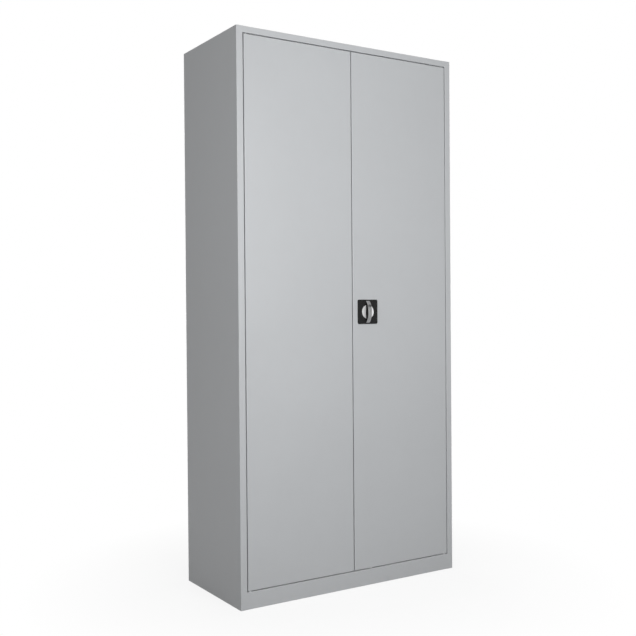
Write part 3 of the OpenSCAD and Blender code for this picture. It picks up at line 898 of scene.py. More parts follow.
def arc(centre: Pair, radius: float, start: float, end: float, steps: int = 4) -> list[Pair]:
    """Points on an arc, for the outline of a turned piece.

    Args:
        centre: The arc's centre.
        radius: Its radius.
        start: First angle in degrees.
        end: Last angle in degrees.
        steps: How many parts it has.

    Returns:
        The points from the first angle to the last.
    """
    turns = [math.radians(start + (end - start) * step / steps) for step in range(steps + 1)]
    return [(centre[0] + radius * math.cos(turn), centre[1] + radius * math.sin(turn)) for turn in turns]


def domed(radius: float, tip: float, rise: float, step: int) -> list[Pair]:
    """Points on a quarter of an ellipse, for the outline of a turned dome.

    Args:
        radius: Its radius at its foot.
        tip: The place of its tip along the axis.
        rise: How far its foot lies from its tip.
        step: Degrees from one point to the next.

    Returns:
        The points from the foot to the tip.
    """
    turns = [math.radians(angle) for angle in range(0, 91, step)]
    return [(radius * math.cos(turn), tip + rise * (1 - math.sin(turn))) for turn in turns]


@dataclass
class LockFurniture:
    """The black plate on the right door, with the disc, dish, grip and key that turn in it."""

    round_steps: int = 96
    centre_x: float = 64.5
    centre_z: float = 994.0
    door_face: float = -210.0
    plate_w: float = 86.0
    plate_h: float = 88.0
    plate_r: float = 6.0
    plate_edge: float = 0.9
    mouth_edge: float = 0.25
    plate_face: float = -214.0
    pocket_d: float = 80.6
    pocket_floor: float = -211.2
    disc_d: float = 80.0
    disc_face: float = -214.2
    disc_back: float = -211.5
    disc_round: float = 0.5
    disc_slope: float = 0.2
    groove_in: float = 2.2
    groove_w: float = 1.0
    groove_deep: float = 0.35
    hub_d: float = 20.0
    hub_play: float = 0.25
    hub_back: float = -207.2
    dish_d: float = 51.0
    dish_floor: float = -212.7
    dish_sag: float = 1.0
    dish_play: float = 0.15
    roll_r: float = 0.55
    bowl_set: float = 0.12
    grip_l: float = 79.0
    grip_w: float = 17.0
    grip_t: float = 5.2
    grip_rise: float = 14.6
    shell_t: float = 2.2
    shell_in: float = 0.9
    shell_proud: float = 0.5
    shell_r: float = 0.7
    core_r: float = 1.7
    foot_flare: float = 0.05
    # The black strip under the bow: partly the grip's dark underside, partly painted shade of the bow.
    strip_in: float = 1.0
    strip_t: float = 1.4
    strip_proud: float = 0.06
    strip_r: float = 1.0
    key_up: float = 20.0
    housing_d: float = 12.0
    plug_d: float = 8.0
    keyway_w: float = 1.2
    keyway_deep: float = 5.0
    keyway_r: float = 0.25
    key_face: float = -226.6
    key_round: float = 0.7
    key_lip: float = 0.3
    plug_play: float = 0.1
    plug_set: float = 0.15
    plug_root: float = 0.3
    plug_edge: float = 0.25

    def at(self, y: float, up: float = 0.0) -> Point:
        """A point on the lock's own line, at a depth and a height over its centre."""
        return (self.centre_x, y, self.centre_z + up)

    def build(self) -> None:
        """Makes every piece of the lock's front."""
        self.make_plate()
        self.make_disc()
        self.make_dish()
        self.make_grip()
        self.make_key_housing()
        self.make_key_plug()

    def make_plate(self) -> None:
        """Moulds the plate: a round-cornered slab with a stepped round pocket and a hole for the hub."""
        blank = Blank("plate_moulded")
        placed = facing_front(*self.at(self.plate_face))
        rim = blank.rounded_rim(self.plate_w, self.plate_h, self.plate_r, placed, segments=10)
        mouth = blank.circle(self.pocket_d / 2, placed, self.round_steps)
        blank.joined(rim, mouth)
        skirt = blank.walled(rim, self.door_face - self.plate_face)
        bottom = blank.walled(mouth, self.pocket_floor - self.plate_face)
        verts, lip = blank.band(bottom)
        share = (self.hub_d / 2 + self.hub_play) / (self.pocket_d / 2)
        bmesh.ops.scale(blank.bm, vec=(share, 1, share), verts=verts,
                        space=Matrix.Translation((-self.centre_x, 0, -self.centre_z)))
        hub_hole = blank.walled(lip, self.door_face - self.pocket_floor)
        blank.joined(skirt, hub_hole)
        bmesh.ops.recalc_face_normals(blank.bm, faces=list(blank.bm.faces))
        blank.softened([edge for edge in rim if edge.is_valid], self.plate_edge, segments=4)
        blank.softened([edge for edge in mouth if edge.is_valid], self.mouth_edge, segments=2)
        blank.finished(Body.RIGHT_DOOR, BLACK, ["lock_plate"])

    def make_disc(self) -> None:
        """Turns the black disc, with a fine groove near its rim and a seat for the dish."""
        blank = Blank("disc_turned")
        rim, seat, hub = self.disc_d / 2, self.dish_d / 2 + self.dish_play, self.hub_d / 2
        face, floor, slope, turn = self.disc_face, self.dish_floor, self.disc_slope, self.disc_round
        outer, deep = rim - self.groove_in, face + self.groove_deep
        inner = outer - self.groove_w
        pocket = [(0, floor), (seat, floor), (seat, face + slope), (seat + slope, face)]
        groove = [(inner, face), (inner + slope, deep), (outer - slope, deep), (outer, face)]
        back = [(rim, self.disc_back), (hub, self.disc_back), (hub, self.hub_back), (0, self.hub_back)]
        outline = [*pocket, *groove, *arc((rim - turn, face + turn), turn, -90, 0, 3), *back]
        blank.turned(outline, self.at(0.0), Axis.Y, steps=self.round_steps)
        blank.finished(Body.HANDLE, BLACK, ["handle_disc"], crease=28)

    def make_dish(self) -> None:
        """Spins the bright hollow dish, with a rolled rim."""
        blank = Blank("dish_spun")
        rim, face, floor = self.dish_d / 2, self.disc_face, self.dish_floor
        bowl, parts = rim - 2 * self.roll_r, 10
        hollow = [(bowl * part / parts, face + self.dish_sag * (1 - (part / parts) ** 2) + self.bowl_set)
                  for part in range(parts + 1)]
        roll = arc((rim - self.roll_r, face + self.roll_r), self.roll_r, -150, 0, 5)
        blank.turned([*hollow, *roll, (rim, floor), (0, floor)], self.at(0.0), Axis.Y, steps=self.round_steps)
        blank.finished(Body.HANDLE, SPUN, ["handle_dish"], crease=40)

    def make_grip(self) -> None:
        """Makes the grip's three parts: a bowed black core, a satin shell in its front and a black strip
        under the bow, partly its dark underside and partly painted shade.
        """
        core = self.bowed_bar("grip_core", self.grip_w, self.grip_t - self.shell_proud, self.shell_proud,
                             self.core_r)
        core.finished(Body.HANDLE, BLACK, ["handle_grip"], crease=50)
        shell = self.bowed_bar("grip_shell", self.grip_w - 2 * self.shell_in, self.shell_t, 0.0, self.shell_r)
        shell.finished(Body.HANDLE, SATIN, ["handle_grip"], crease=50)
        self.make_underside_and_shade()

    def make_underside_and_shade(self) -> None:
        """Lays a black strip across the dish under the bow, partly the grip's dark underside and partly
        painted shade of the bow on the dish, and leaves the bow open in front of it.
        """
        blank = Blank("grip_underside_and_shade")
        length = self.dish_d - 2 * self.strip_in
        placed = facing_front(*self.at(self.disc_face - self.strip_proud))
        face = blank.rounded_face(self.grip_w, length, self.strip_r, placed, segments=3)
        blank.drawn_out([face], (0, self.strip_t, 0))
        bmesh.ops.recalc_face_normals(blank.bm, faces=list(blank.bm.faces))
        blank.finished(Body.HANDLE, BLACK, ["handle_grip"])

    def bowed_bar(self, name: str, width: float, thick: float, sunk: float, corner: float) -> Blank:
        """Bends one soft-edged flat bar on the grip's arc, a little wider at its two feet.

        Args:
            name: The piece's name.
            width: Across the bar.
            thick: Through the bar.
            sunk: How far its crown lies behind the grip's crown.
            corner: The radius of its section's corners.

        Returns:
            The bar, cut off where it meets the disc.
        """
        blank = Blank(name)
        bm = blank.bm
        half = self.grip_l / 2
        radius = (half ** 2 + self.grip_rise ** 2) / (2 * self.grip_rise)
        centre_y = self.disc_face - self.grip_rise + radius
        reach = math.degrees(math.asin(half / radius)) + 4.0
        section_at = Matrix.Translation(self.at(centre_y - radius + sunk + thick / 2))
        face = blank.rounded_face(width, thick, corner, section_at, segments=5)
        centre = self.at(centre_y)
        back = Matrix.Rotation(math.radians(-reach), 3, "X")
        bmesh.ops.rotate(bm, cent=centre, matrix=back, verts=list(bm.verts))
        bmesh.ops.spin(bm, geom=list(bm.verts) + list(bm.edges) + [face], cent=centre, axis=(1, 0, 0),
                       dvec=(0, 0, 0), angle=math.radians(2 * reach), steps=44, use_merge=False,
                       use_duplicate=False)
        for vert in bm.verts:
            away = abs(vert.co.z - self.centre_z) / half
            vert.co.x = self.centre_x + (vert.co.x - self.centre_x) * (1 + self.foot_flare * away ** 4)
        bmesh.ops.bisect_plane(bm, geom=list(bm.verts) + list(bm.edges) + list(bm.faces), dist=0.0001,
                               plane_co=self.at(self.disc_face), plane_no=(0, 1, 0), clear_outer=True)
        bmesh.ops.holes_fill(bm, edges=[edge for edge in bm.edges if edge.is_boundary], sides=0)
        return blank

    def make_key_housing(self) -> None:
        """Turns the key cylinder's ring, with a chamfered lip and a bore for the plug."""
        blank = Blank("key_housing_turned")
        outer, bore = self.housing_d / 2, self.plug_d / 2 + self.plug_play
        front, lip, turn = self.key_face, self.key_lip, self.key_round
        outline = [(bore, self.disc_face), (bore, front + lip), (bore + lip, front),
                   *arc((outer - turn, front + turn), turn, -90, 0, 4), (outer, self.disc_face)]
        blank.turned([*outline, outline[0]], self.at(0.0, self.key_up), Axis.Y, steps=48)
        blank.finished(Body.HANDLE, DARK_CHROME, ["key_housing"])

    def make_key_plug(self) -> None:
        """Makes the key plug: a round face with its keyway sunk into it."""
        blank = Blank("key_plug_turned")
        face, back = self.key_face + self.plug_set, self.disc_face - self.plug_root
        placed = facing_front(*self.at(face, self.key_up))
        keyway = blank.rounded_rim(self.keyway_w, self.plug_d - 2, self.keyway_r, placed, segments=3)
        rim = blank.circle(self.plug_d / 2, placed, 48)
        blank.joined(keyway, rim)
        for loop, depth in ((keyway, self.keyway_deep), (rim, back - face)):
            bmesh.ops.contextual_create(blank.bm, geom=blank.walled(loop, depth))
        bmesh.ops.recalc_face_normals(blank.bm, faces=list(blank.bm.faces))
        blank.softened([edge for edge in rim if edge.is_valid], self.plug_edge, segments=2)
        blank.finished(Body.KEY_PLUG, PLUG_CHROME, ["key_plug"])


def span(node: str) -> tuple[Vector, Vector]:
    """The lowest and highest corners of a frame node, in millimetres."""
    low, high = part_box(node)
    return Vector(low) / MM, Vector(high) / MM


def evenly(start: float, end: float, pitch: float) -> list[float]:
    """Places from one end to the other, as near to a pitch as whole steps allow."""
    count = max(1, round((end - start) / pitch))
    return [start + (end - start) * step / count for step in range(count + 1)]


@dataclass
class HingeHardware:
    """Pins, washers and bushes at the four corners that the doors turn on, and the rubber buffers."""

    pin_r: float = 3.0
    pin_reach: float = 16.0
    pin_chamfer: float = 0.8
    head_r: float = 5.0
    head_t: float = 3.0
    dome: float = 1.2
    collar_r: float = 5.75
    collar_t: float = 1.5
    washer_chamfer: float = 0.35
    bush_r: float = 5.0
    bush_l: float = 10.0
    bush_chamfer: float = 0.3
    bush_nose: float = 0.6
    buffer_r: float = 4.0
    buffer_in: float = 16.0
    foot_t: float = 1.0
    foot_slope: float = 0.4
    neck_in: float = 0.5
    head_round: float = 1.0
    dimple_mouth: float = 1.1
    dimple_r: float = 0.8
    dimple_deep: float = 0.5
    dimple_sag: float = 0.1
    sheet: float = 1.0
    running: float = 0.06
    pivot: Pair = (0.0, 0.0)

    def build(self) -> None:
        """Makes the hinge pieces and the buffers."""
        low, high = span("hinge_pins")
        self.pivot = (high.x - self.head_r, (low.y + high.y) / 2)
        self.make_pins(low.z, high.z)
        self.make_washers()
        self.make_bushes(Body.LEFT_DOOR, "left", -1)
        self.make_bushes(Body.RIGHT_DOOR, "right", 1)
        self.make_buffers()

    def turned_at(self, blank: Blank, outline: Sequence[Pair], sides: Sequence[int], steps: int) -> None:
        """Turns one outline about the pivots of the left side, -1, the right side, 1, or both."""
        for side in sides:
            blank.turned(outline, (side * self.pivot[0], self.pivot[1], 0.0), Axis.Z, steps=steps)

    def make_pins(self, low: float, high: float) -> None:
        """Turns the pins, each with a set head and a chamfered nose.

        Args:
            low: The underside of the lower pins' heads.
            high: The top of the upper pins' heads.
        """
        blank = Blank("pins_turned")
        for start, way in ((low, 1), (high, -1)):
            neck = start + way * self.head_t
            nose = neck + way * self.pin_reach
            dome = domed(self.head_r, start, way * self.dome, step=15)
            outline = [*reversed(dome), (self.head_r, neck), (self.pin_r, neck),
                       (self.pin_r, nose - way * self.pin_chamfer), (self.pin_r - self.pin_chamfer, nose),
                       (0, nose)]
            self.turned_at(blank, outline, (-1, 1), 32)
        blank.finished(Body.CARCASS, ZINC, ["hinge_pins"])

    def make_washers(self) -> None:
        """Turns the two washers that carry the doors."""
        blank = Blank("washers_turned")
        low, high = span("hinge_washers")
        bore, rim, chamfer = self.pin_r + self.running, self.collar_r, self.washer_chamfer
        outline = [(bore, low.z), (rim - chamfer, low.z), (rim, low.z + chamfer), (rim, high.z - chamfer),
                   (rim - chamfer, high.z), (bore, high.z), (bore, low.z)]
        self.turned_at(blank, outline, (-1, 1), 40)
        blank.finished(Body.CARCASS, ZINC, ["hinge_washers"])

    def make_bushes(self, body: Body, side: str, way_x: int) -> None:
        """Turns one door's two bushes, each with a collar inside the pan.

        Args:
            body: The door.
            side: The door's name in its nodes.
            way_x: -1 for the left door, 1 for the right.
        """
        node = f"{side}_door_bushes"
        blank = Blank(f"{side}_bushes_turned")
        low, high = span(node)
        bore = self.pin_r + self.running
        for start, way in ((low.z, 1), (high.z, -1)):
            near, far = start + way * self.sheet, start + way * (self.sheet + self.collar_t)
            end, cut, taper = start + way * self.bush_l, self.bush_chamfer, self.bush_nose
            outline = [(bore, start), (self.bush_r - cut, start), (self.bush_r, start + way * cut),
                       (self.bush_r, near), (self.collar_r, near), (self.collar_r, far - way * cut),
                       (self.collar_r - cut, far), (self.bush_r, far), (self.bush_r, end - way * taper),
                       (self.bush_r - taper, end), (bore, end), (bore, start)]
            self.turned_at(blank, outline, (way_x,), 40)
        blank.finished(body, NYLON, [node])

    def make_buffers(self) -> None:
        """Turns the rubber buffers: a domed head over a wider foot, with a dimple in the middle."""
        blank = Blank("buffers_moulded")
        low, high = span("door_buffers")
        foot, face, rim, turn = high.y, low.y, self.buffer_r, self.head_round
        neck, top, floor = rim - self.neck_in, foot - self.foot_t, face + self.dimple_deep
        stem = [(0, foot), (rim, foot), (rim, top), (neck, top - self.foot_slope), (neck, face + 1.2 * turn)]
        dimple = [(self.dimple_mouth, face), (self.dimple_r, floor), (0, floor + self.dimple_sag)]
        outline = [*stem, *arc((neck - turn, face + turn), turn, 0, -90, 4), *dimple]
        inner = RodHardware.lower_x() + self.buffer_in
        for x in (inner, high.x - rim):
            for side in (-1, 1):
                for z in (low.z + rim, high.z - rim):
                    blank.turned(outline, (side * x, 0.0, z), Axis.Y, steps=24)
        blank.finished(Body.CARCASS, RUBBER, ["door_buffers"])


@dataclass
class RodHardware:
    """The moulded guides and tips of the two locking rods, and the screws of the lock's cover."""

    centre_x: float = 64.5
    centre_z: float = 994.0
    rod_r: float = 4.0
    guide_half_x: float = 9.0
    guide_half_z: float = 6.0
    guide_up: float = 250.0
    guide_r: float = 1.6
    rod_play: float = 0.3
    rib_half: float = 0.4
    rib_front: float = 1.0
    rib_back: float = 2.0
    rib_edge: float = 0.15
    tip_round: float = 4.0
    lead_in: float = 0.3
    lead_l: float = 0.4
    groove_at: Pair = (2.5, 5.5)
    groove_w: float = 1.2
    groove_deep: float = 0.35
    groove_slope: float = 0.3
    screw_r: float = 2.0
    screw_x: float = 26.0
    screw_z: float = 50.0
    head_r: float = 4.0
    head_t: float = 2.0
    head_flat_r: float = 2.6
    cross_half_w: float = 0.38
    cross_half_l: float = 1.7
    cross_deep: float = 1.1

    @staticmethod
    def lower_x() -> float:
        """Where the lower rod runs."""
        low, high = span("lower_rod_tip")
        return (low.x + high.x) / 2

    def build(self) -> None:
        """Makes the guides, the tips and the screws."""
        self.make_guides()
        self.make_tip("upper_rod_tip", Body.UPPER_ROD, 1)
        self.make_tip("lower_rod_tip", Body.LOWER_ROD, -1)
        self.make_screws()

    def make_guides(self) -> None:
        """Moulds the four guides: soft-edged blocks with a bore and a split line."""
        blank = Blank("guides_moulded")
        bm = blank.bm
        low, high = span("rod_guides")
        tip_low, tip_high = span("upper_rod_tip")
        rod_y = (tip_low.y + tip_high.y) / 2
        upper_x, lower_x = (tip_low.x + tip_high.x) / 2, self.lower_x()
        places = [(upper_x, self.centre_z + self.guide_up), (upper_x, high.z - self.guide_half_z),
                  (lower_x, self.centre_z - self.guide_up), (lower_x, low.z + self.guide_half_z)]
        rib = self.rib_half
        for x, z in places:
            before = set(bm.faces)
            base = z - self.guide_half_z
            rim = blank.rounded_rim(2 * self.guide_half_x, high.y - low.y, self.guide_r,
                                    Matrix.Translation((x, (low.y + high.y) / 2, base)), segments=4)
            bore = blank.circle(self.rod_r + self.rod_play, Matrix.Translation((x, rod_y, base)), 32)
            blank.joined(rim, bore)
            blank.drawn_out([face for face in bm.faces if face not in before], (0, 0, 2 * self.guide_half_z))
            for side in (x - self.guide_half_x, x + self.guide_half_x):
                made = blank.block((side - rib, low.y + self.rib_front, z - rib),
                                   (side + rib, high.y - self.rib_back, z + rib))
                blank.softened(blank.edges_of(made), self.rib_edge, segments=2)
        blank.finished(Body.RIGHT_DOOR, BLACK, ["rod_guides"])

    def make_tip(self, node: str, body: Body, way: int) -> None:
        """Moulds the slippery tip of a rod: a sleeve with two grooves and a round nose.

        Args:
            node: The frame node that it stands for.
            body: The rod that it rides on.
            way: 1 where the nose points up, -1 where it points down.
        """
        low, high = span(node)
        start, end = (low.z, high.z) if way > 0 else (high.z, low.z)
        r = self.rod_r
        blank = Blank(f"{node}_moulded")
        low_r, slope = r - self.groove_deep, self.groove_slope
        sleeve = [(r - self.lead_in, 0.0), (r, self.lead_l)]
        for near in self.groove_at:
            far = near + self.groove_w
            sleeve += [(r, near), (low_r, near + slope), (low_r, far - slope), (r, far)]
        grooved = [(radius, start + way * place) for radius, place in sleeve]
        outline = [(0, start), *grooved, *domed(r, end, -way * self.tip_round, step=10)]
        blank.turned(outline, ((low.x + high.x) / 2, (low.y + high.y) / 2, 0.0), Axis.Z, steps=40)
        blank.finished(body, BLACK, [node])

    def make_screws(self) -> None:
        """Makes the four cover screws: a shank and a domed head with a cross recess."""
        blank = Blank("cover_screws")
        low, high = span("lock_screws")
        under = high.y - self.head_t
        dome = arc((self.head_flat_r, under + 0.6), self.head_r - self.head_flat_r, 0, 90, 4)
        outline = [(0, low.y), (self.screw_r, low.y), (self.screw_r, under), (self.head_r, under), *dome]
        for x in (self.centre_x - self.screw_x, self.centre_x + self.screw_x):
            for z in (self.centre_z - self.screw_z, self.centre_z + self.screw_z):
                blank.turned(outline, (x, 0.0, z), Axis.Y, steps=24)
                self.sink_cross(blank, facing_front(x, dome[-1][1], z), dome[-1][0])
        blank.finished(Body.RIGHT_DOOR, ZINC, ["lock_screws"])

    def sink_cross(self, blank: Blank, placed: Matrix, rim: float) -> None:
        """Closes a screw's open head with a flat that has a cross sunk into it.

        Args:
            blank: The piece.
            placed: Where the flat goes.
            rim: The radius of the open edge.
        """
        bm = blank.bm
        before_faces, before_edges, before = set(bm.faces), set(bm.edges), set(bm.verts)
        grid = self.cross_half_l
        bmesh.ops.create_grid(bm, x_segments=3, y_segments=3, size=grid)
        for vert in (vert for vert in bm.verts if vert not in before):
            for way in (0, 1):
                far = self.cross_half_w if abs(vert.co[way]) < grid / 2 else grid
                vert.co[way] = math.copysign(far, vert.co[way])
        squares = [face for face in bm.faces if face not in before_faces]
        corners = [face for face in squares
                   if min(abs(part) for part in face.calc_center_median().xy) > self.cross_half_w]
        bmesh.ops.delete(bm, geom=corners, context="FACES")
        cross = [face for face in squares if face.is_valid]
        bmesh.ops.transform(bm, matrix=placed, verts=list({vert for face in cross for vert in face.verts}))
        outer = [edge for edge in bm.edges if edge not in before_edges and edge.is_boundary]
        blank.joined(outer, blank.circle(rim, placed, 24))
        drawn = bmesh.ops.extrude_face_region(bm, geom=cross)["geom"]
        sunk = [one for one in drawn if isinstance(one, Vert)]
        bmesh.ops.translate(bm, vec=(0, -self.cross_deep, 0), verts=sunk)
        bmesh.ops.delete(bm, geom=[face for face in cross if face.is_valid], context="FACES_ONLY")


@dataclass
class SheetMarks:
    """The marks that joining leaves on painted sheet: weld dimples inside and blind rivets behind.

    A profile's points are shares of the mark's radius and of its rise.
    """

    weld_r: float = 3.2
    weld_rise: float = 0.3
    weld_profile: tuple[Pair, ...] = ((1.0, 0.0), (0.82, 1.0), (0.62, 0.35), (0.0, 0.1))
    weld_pitch: float = 160.0
    rail_pitch: float = 200.0
    rivet_r: float = 3.2
    rivet_rise: float = 0.95
    rivet_profile: tuple[Pair, ...] = ((1.0, 0.0), (1.0, 0.25), (0.86, 0.68), (0.5, 1.0), (0.36, 1.0),
                                       (0.3, 0.45), (0.0, 0.45))
    rivet_pitch: float = 150.0
    end_in: float = 30.0
    shelf_in: float = 25.0
    back_in: float = 45.0
    door_foot: float = 7.0
    shelf_foot: float = 6.5
    rail_foot: float = 4.0
    roof_fold: float = 10.0
    floor_fold: float = 9.0
    sheet: float = 1.0

    def build(self) -> None:
        """Makes the marks on the doors, the shelves, the rails and the back."""
        self.mark_door("left_door_brace", Body.LEFT_DOOR)
        self.mark_door("right_door_brace", Body.RIGHT_DOOR)
        self.mark_shelves()
        self.mark_rails()
        self.rivet_back()

    def dimple(self, blank: Blank, axis: Axis, way: float) -> list[Vert]:
        """Turns one weld dimple at the origin: a faint raised ring round a hollow.

        Args:
            blank: The piece.
            axis: The direction that it faces.
            way: 1 or -1 along that axis.

        Returns:
            Its vertices.
        """
        outline = [(self.weld_r * out, self.weld_rise * way * up) for out, up in self.weld_profile]
        return blank.turned(outline, (0, 0, 0), axis, steps=14)

    def spread(self, blank: Blank, shape: list[Vert], places: Sequence[Point]) -> None:
        """Puts a shape made at the origin at every place and takes the first one away."""
        blank.repeated(shape, places)
        bmesh.ops.delete(blank.bm, geom=shape, context="VERTS")

    def mark_door(self, node: str, body: Body) -> None:
        """Marks the two feet of a door's brace.

        Args:
            node: The brace.
            body: The door.
        """
        blank = Blank(f"{node}_welds")
        low, high = span(node)
        heights = evenly(low.z + self.end_in, high.z - self.end_in, self.weld_pitch)
        places = [(x, low.y + self.sheet, z) for x in (low.x + self.door_foot, high.x - self.door_foot)
                  for z in heights]
        self.spread(blank, self.dimple(blank, Axis.Y, 1.0), places)
        blank.finished(body, PAINT)

    def mark_shelves(self) -> None:
        """Marks the feet of the braces under the four shelves."""
        blank = Blank("shelf_brace_welds")
        places = []
        for number in range(1, 5):
            low, high = span(f"shelf_{number}_brace")
            across = evenly(low.x + self.shelf_in, high.x - self.shelf_in, self.weld_pitch)
            places += [(x, y, high.z - self.sheet) for x in across
                       for y in (low.y + self.shelf_foot, high.y - self.shelf_foot)]
        self.spread(blank, self.dimple(blank, Axis.Z, -1.0), places)
        blank.finished(Body.CARCASS, PAINT)

    def mark_rails(self) -> None:
        """Marks the flanges of the slotted rails on the two side panels."""
        for side, way in (("left", 1.0), ("right", -1.0)):
            blank = Blank(f"rail_welds_{side}")
            places = []
            for depth in ("front", "rear"):
                low, high = span(f"shelf_rail_{depth}_{side}")
                face_x = (low.x if way > 0 else high.x) + way * self.sheet
                places += [(face_x, y, z) for y in (low.y + self.rail_foot, high.y - self.rail_foot)
                           for z in evenly(low.z + self.end_in, high.z - self.end_in, self.rail_pitch)]
            self.spread(blank, self.dimple(blank, Axis.X, way), places)
            blank.finished(Body.CARCASS, PAINT)

    def rivet_back(self) -> None:
        """Sets blind rivets through the back into the folds of the roof and the floor."""
        blank = Blank("back_rivets")
        low, high = span("back_panel")
        outline = [(self.rivet_r * out, self.rivet_rise * up) for out, up in self.rivet_profile]
        shape = blank.turned(outline, (0, 0, 0), Axis.Y, steps=16)
        floor_z = span("bottom_panel")[1].z
        across = evenly(low.x + self.back_in, high.x - self.back_in, self.rivet_pitch)
        places = [(x, high.y, z) for x in across
                  for z in (high.z - self.roof_fold, floor_z - self.floor_fold)]
        self.spread(blank, shape, places)
        blank.finished(Body.CARCASS, ZINC)


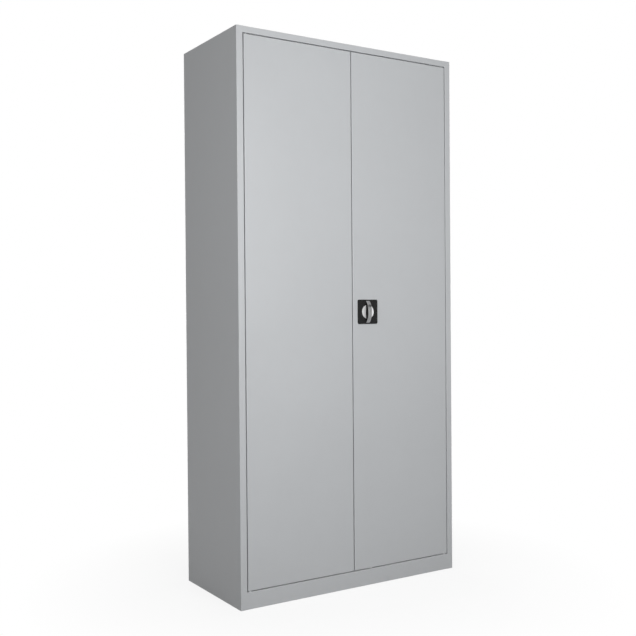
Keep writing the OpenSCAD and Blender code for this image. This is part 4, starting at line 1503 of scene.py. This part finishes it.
@dataclass
class Studio:
    """The floor, the lamps, the surrounding light and the camera."""

    camera_at: Point = (-1877.3, -2930.6, 1012.7)
    yaw: float = 32.446
    pitch: float = -0.686
    roll: float = -0.442
    focal_px: float = 920.36
    image_px: int = 636
    sensor: float = 36.0
    clip_end: float = 200.0
    floor_span: float = 60000.0
    floor_under: float = 0.2
    floor_lit: float = 158.0
    floor_seen: float = 250.0
    white_near: Pair = (0.45, 0.86)
    white_far: Pair = (1.1, 1.0)
    surround: float = 0.05
    soft_boxes: tuple[tuple[str, Point, Point, float, float], ...] = (
        ("key_box", (-300.0, -2800.0, 1600.0), (-80.0, -210.0, 1350.0), 1400.0, 49.0),
        ("side_box", (-2450.0, -1300.0, 1450.0), (-460.0, -100.0, 1200.0), 1200.0, 16.8),
        ("roof_box", (300.0, -600.0, 5200.0), (0.0, 0.0, 900.0), 2600.0, 26.0),
        ("far_side_box", (3400.0, 300.0, 1500.0), (460.0, 0.0, 1200.0), 1600.0, 20.0),
        ("rear_box", (500.0, 3600.0, 1700.0), (0.0, 210.0, 1100.0), 1600.0, 48.0),
    )

    def build(self) -> None:
        """Sets up the whole stage."""
        self.set_colours()
        self.set_surround()
        self.lay_floor()
        for name, place, aim, size, power in self.soft_boxes:
            self.hang_lamp(name, place, aim, size, power)
        self.set_camera()

    @staticmethod
    def set_colours() -> None:
        """Shows colours as they are written."""
        bpy.context.scene.view_settings.view_transform = "Standard"

    @staticmethod
    def seen_directly(graph: Graph) -> Socket:
        """Finds what the camera sees straight, in a mirror or through glass.

        Args:
            graph: The nodes that it is for.

        Returns:
            A mask that is 1 there and 0 elsewhere.
        """
        path = graph.add("ShaderNodeLightPath")
        seen = graph.maths("MAXIMUM", path.outputs["Is Camera Ray"], path.outputs["Is Glossy Ray"])
        return graph.maths("MAXIMUM", seen, path.outputs["Is Transmission Ray"])

    def set_surround(self) -> None:
        """Fills the room with even light that shows white behind the cabinet."""
        world = bpy.data.worlds.new("studio_surround")
        graph = Graph.emptied(world)
        strength = graph.ramp(self.seen_directly(graph), (0.0, self.surround), (1.0, 1.0))
        shader = graph.add("ShaderNodeBackground", {"Color": WHITE, "Strength": strength})
        graph.add("ShaderNodeOutputWorld", {"Surface": shader.outputs[0]})
        bpy.context.scene.world = world

    def lay_floor(self) -> None:
        """Lays the pale floor, which looks white but keeps the cabinet's shadow."""
        bm = bmesh.new()
        bmesh.ops.create_circle(bm, cap_ends=True, radius=self.floor_span * MM, segments=96)
        bmesh.ops.translate(bm, vec=(0, 0, -self.floor_under * MM), verts=list(bm.verts))
        bmesh.ops.recalc_face_normals(bm, faces=list(bm.faces))
        mesh = bpy.data.meshes.new("studio_floor")
        bm.to_mesh(mesh)
        bm.free()
        material = bpy.data.materials.new("floor_pale")
        graph = Graph.emptied(material)
        seen = self.seen_directly(graph)
        colour = graph.mix(seen, grey(self.floor_lit), grey(self.floor_seen))
        matt = graph.add("ShaderNodeBsdfDiffuse", {"Color": colour})
        white = graph.add("ShaderNodeEmission", {"Color": WHITE, "Strength": 1.0})
        away = graph.add("ShaderNodeVectorMath", {0: graph.add("ShaderNodeTexCoord").outputs["Object"]},
                         operation="LENGTH").outputs["Value"]
        share = graph.times(seen, graph.ramp(away, self.white_near, self.white_far))
        both = graph.add("ShaderNodeMixShader", {0: share, 1: matt.outputs[0], 2: white.outputs[0]})
        graph.add("ShaderNodeOutputMaterial", {"Surface": both.outputs[0]})
        mesh.materials.append(material)
        floor = bpy.data.objects.new("studio_floor", mesh)
        bpy.context.scene.collection.objects.link(floor)
        floor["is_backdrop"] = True

    @staticmethod
    def hang_lamp(name: str, place: Point, aim: Point, size: float, power: float) -> None:
        """Hangs one soft box.

        Args:
            name: The lamp's name.
            place: Where it hangs, in millimetres.
            aim: The point that it faces.
            size: The side of its square face.
            power: Its power in watts.
        """
        light = bpy.data.lights.new(name, "AREA")
        light.shape, light.size, light.energy = "SQUARE", size * MM, power
        lamp = bpy.data.objects.new(name, light)
        lamp.location = Vector(place) * MM
        lamp.rotation_euler = (Vector(aim) - Vector(place)).to_track_quat("-Z", "Y").to_euler()
        bpy.context.scene.collection.objects.link(lamp)

    def set_camera(self) -> None:
        """Places the camera where the photograph was taken from."""
        yaw, pitch, roll = (math.radians(angle) for angle in (self.yaw, self.pitch, self.roll))
        ahead = Vector((math.sin(yaw) * math.cos(pitch), math.cos(yaw) * math.cos(pitch), math.sin(pitch)))
        level = Vector((math.cos(yaw), -math.sin(yaw), 0.0))
        upright = level.cross(ahead)
        right = math.cos(roll) * level + math.sin(roll) * upright
        above = math.cos(roll) * upright - math.sin(roll) * level
        lens = bpy.data.cameras.new("photo_camera")
        lens.sensor_width = self.sensor
        lens.lens = self.focal_px * self.sensor / self.image_px
        lens.clip_end = self.clip_end
        camera = bpy.data.objects.new("photo_camera", lens)
        turned = Matrix((right, above, -ahead)).transposed().to_4x4()
        camera.matrix_world = Matrix.Translation(Vector(self.camera_at) * MM) @ turned
        bpy.context.scene.collection.objects.link(camera)
        bpy.context.scene.camera = camera


@dataclass
class CabinetDresser:
    """Gives every node of the frame its finish."""

    frame: dict
    own_finish: dict[str, Finish] = field(default_factory=lambda: {"lock_case": ZINC_SHEET,
                                                                   "lock_cover": ZINC_SHEET})

    def dress(self) -> None:
        """Puts one finish on each node, by the record's slots."""
        slots = {part["node"]: Slot(part["material_slot"]) for part in self.frame["record"]["subparts"]}
        for name, node in self.frame["nodes"].items():
            finish = self.own_finish.get(name, FINISHES[slots[name]])
            node.data.materials.clear()
            node.data.materials.append(finish.make())
            log.info("%s wears %s", name, finish.name)


def keep_sizes(cad_box: object) -> None:
    """Works out the frame's own box and the dressed model's box, and keeps neither.
    """
    def plain(box: object) -> object:
        """Turns vectors into plain lists of numbers."""
        return [plain(part) for part in box] if hasattr(box, "__len__") else float(box)
    {"cad": plain(cad_box), "visual": plain(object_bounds())}


def main() -> None:
    """Loads the frame, dresses it and builds every sub-assembly in order."""
    logging.basicConfig(level=logging.INFO, format="%(name)s: %(message)s")
    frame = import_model()
    cad_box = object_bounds()
    CabinetDresser(frame).dress()
    for assembly in (LockFurniture(), HingeHardware(), RodHardware(), SheetMarks(), Studio()):
        log.info("building %s", type(assembly).__name__)
        assembly.build()
    keep_sizes(cad_box)


if __name__ == "__main__":
    main()
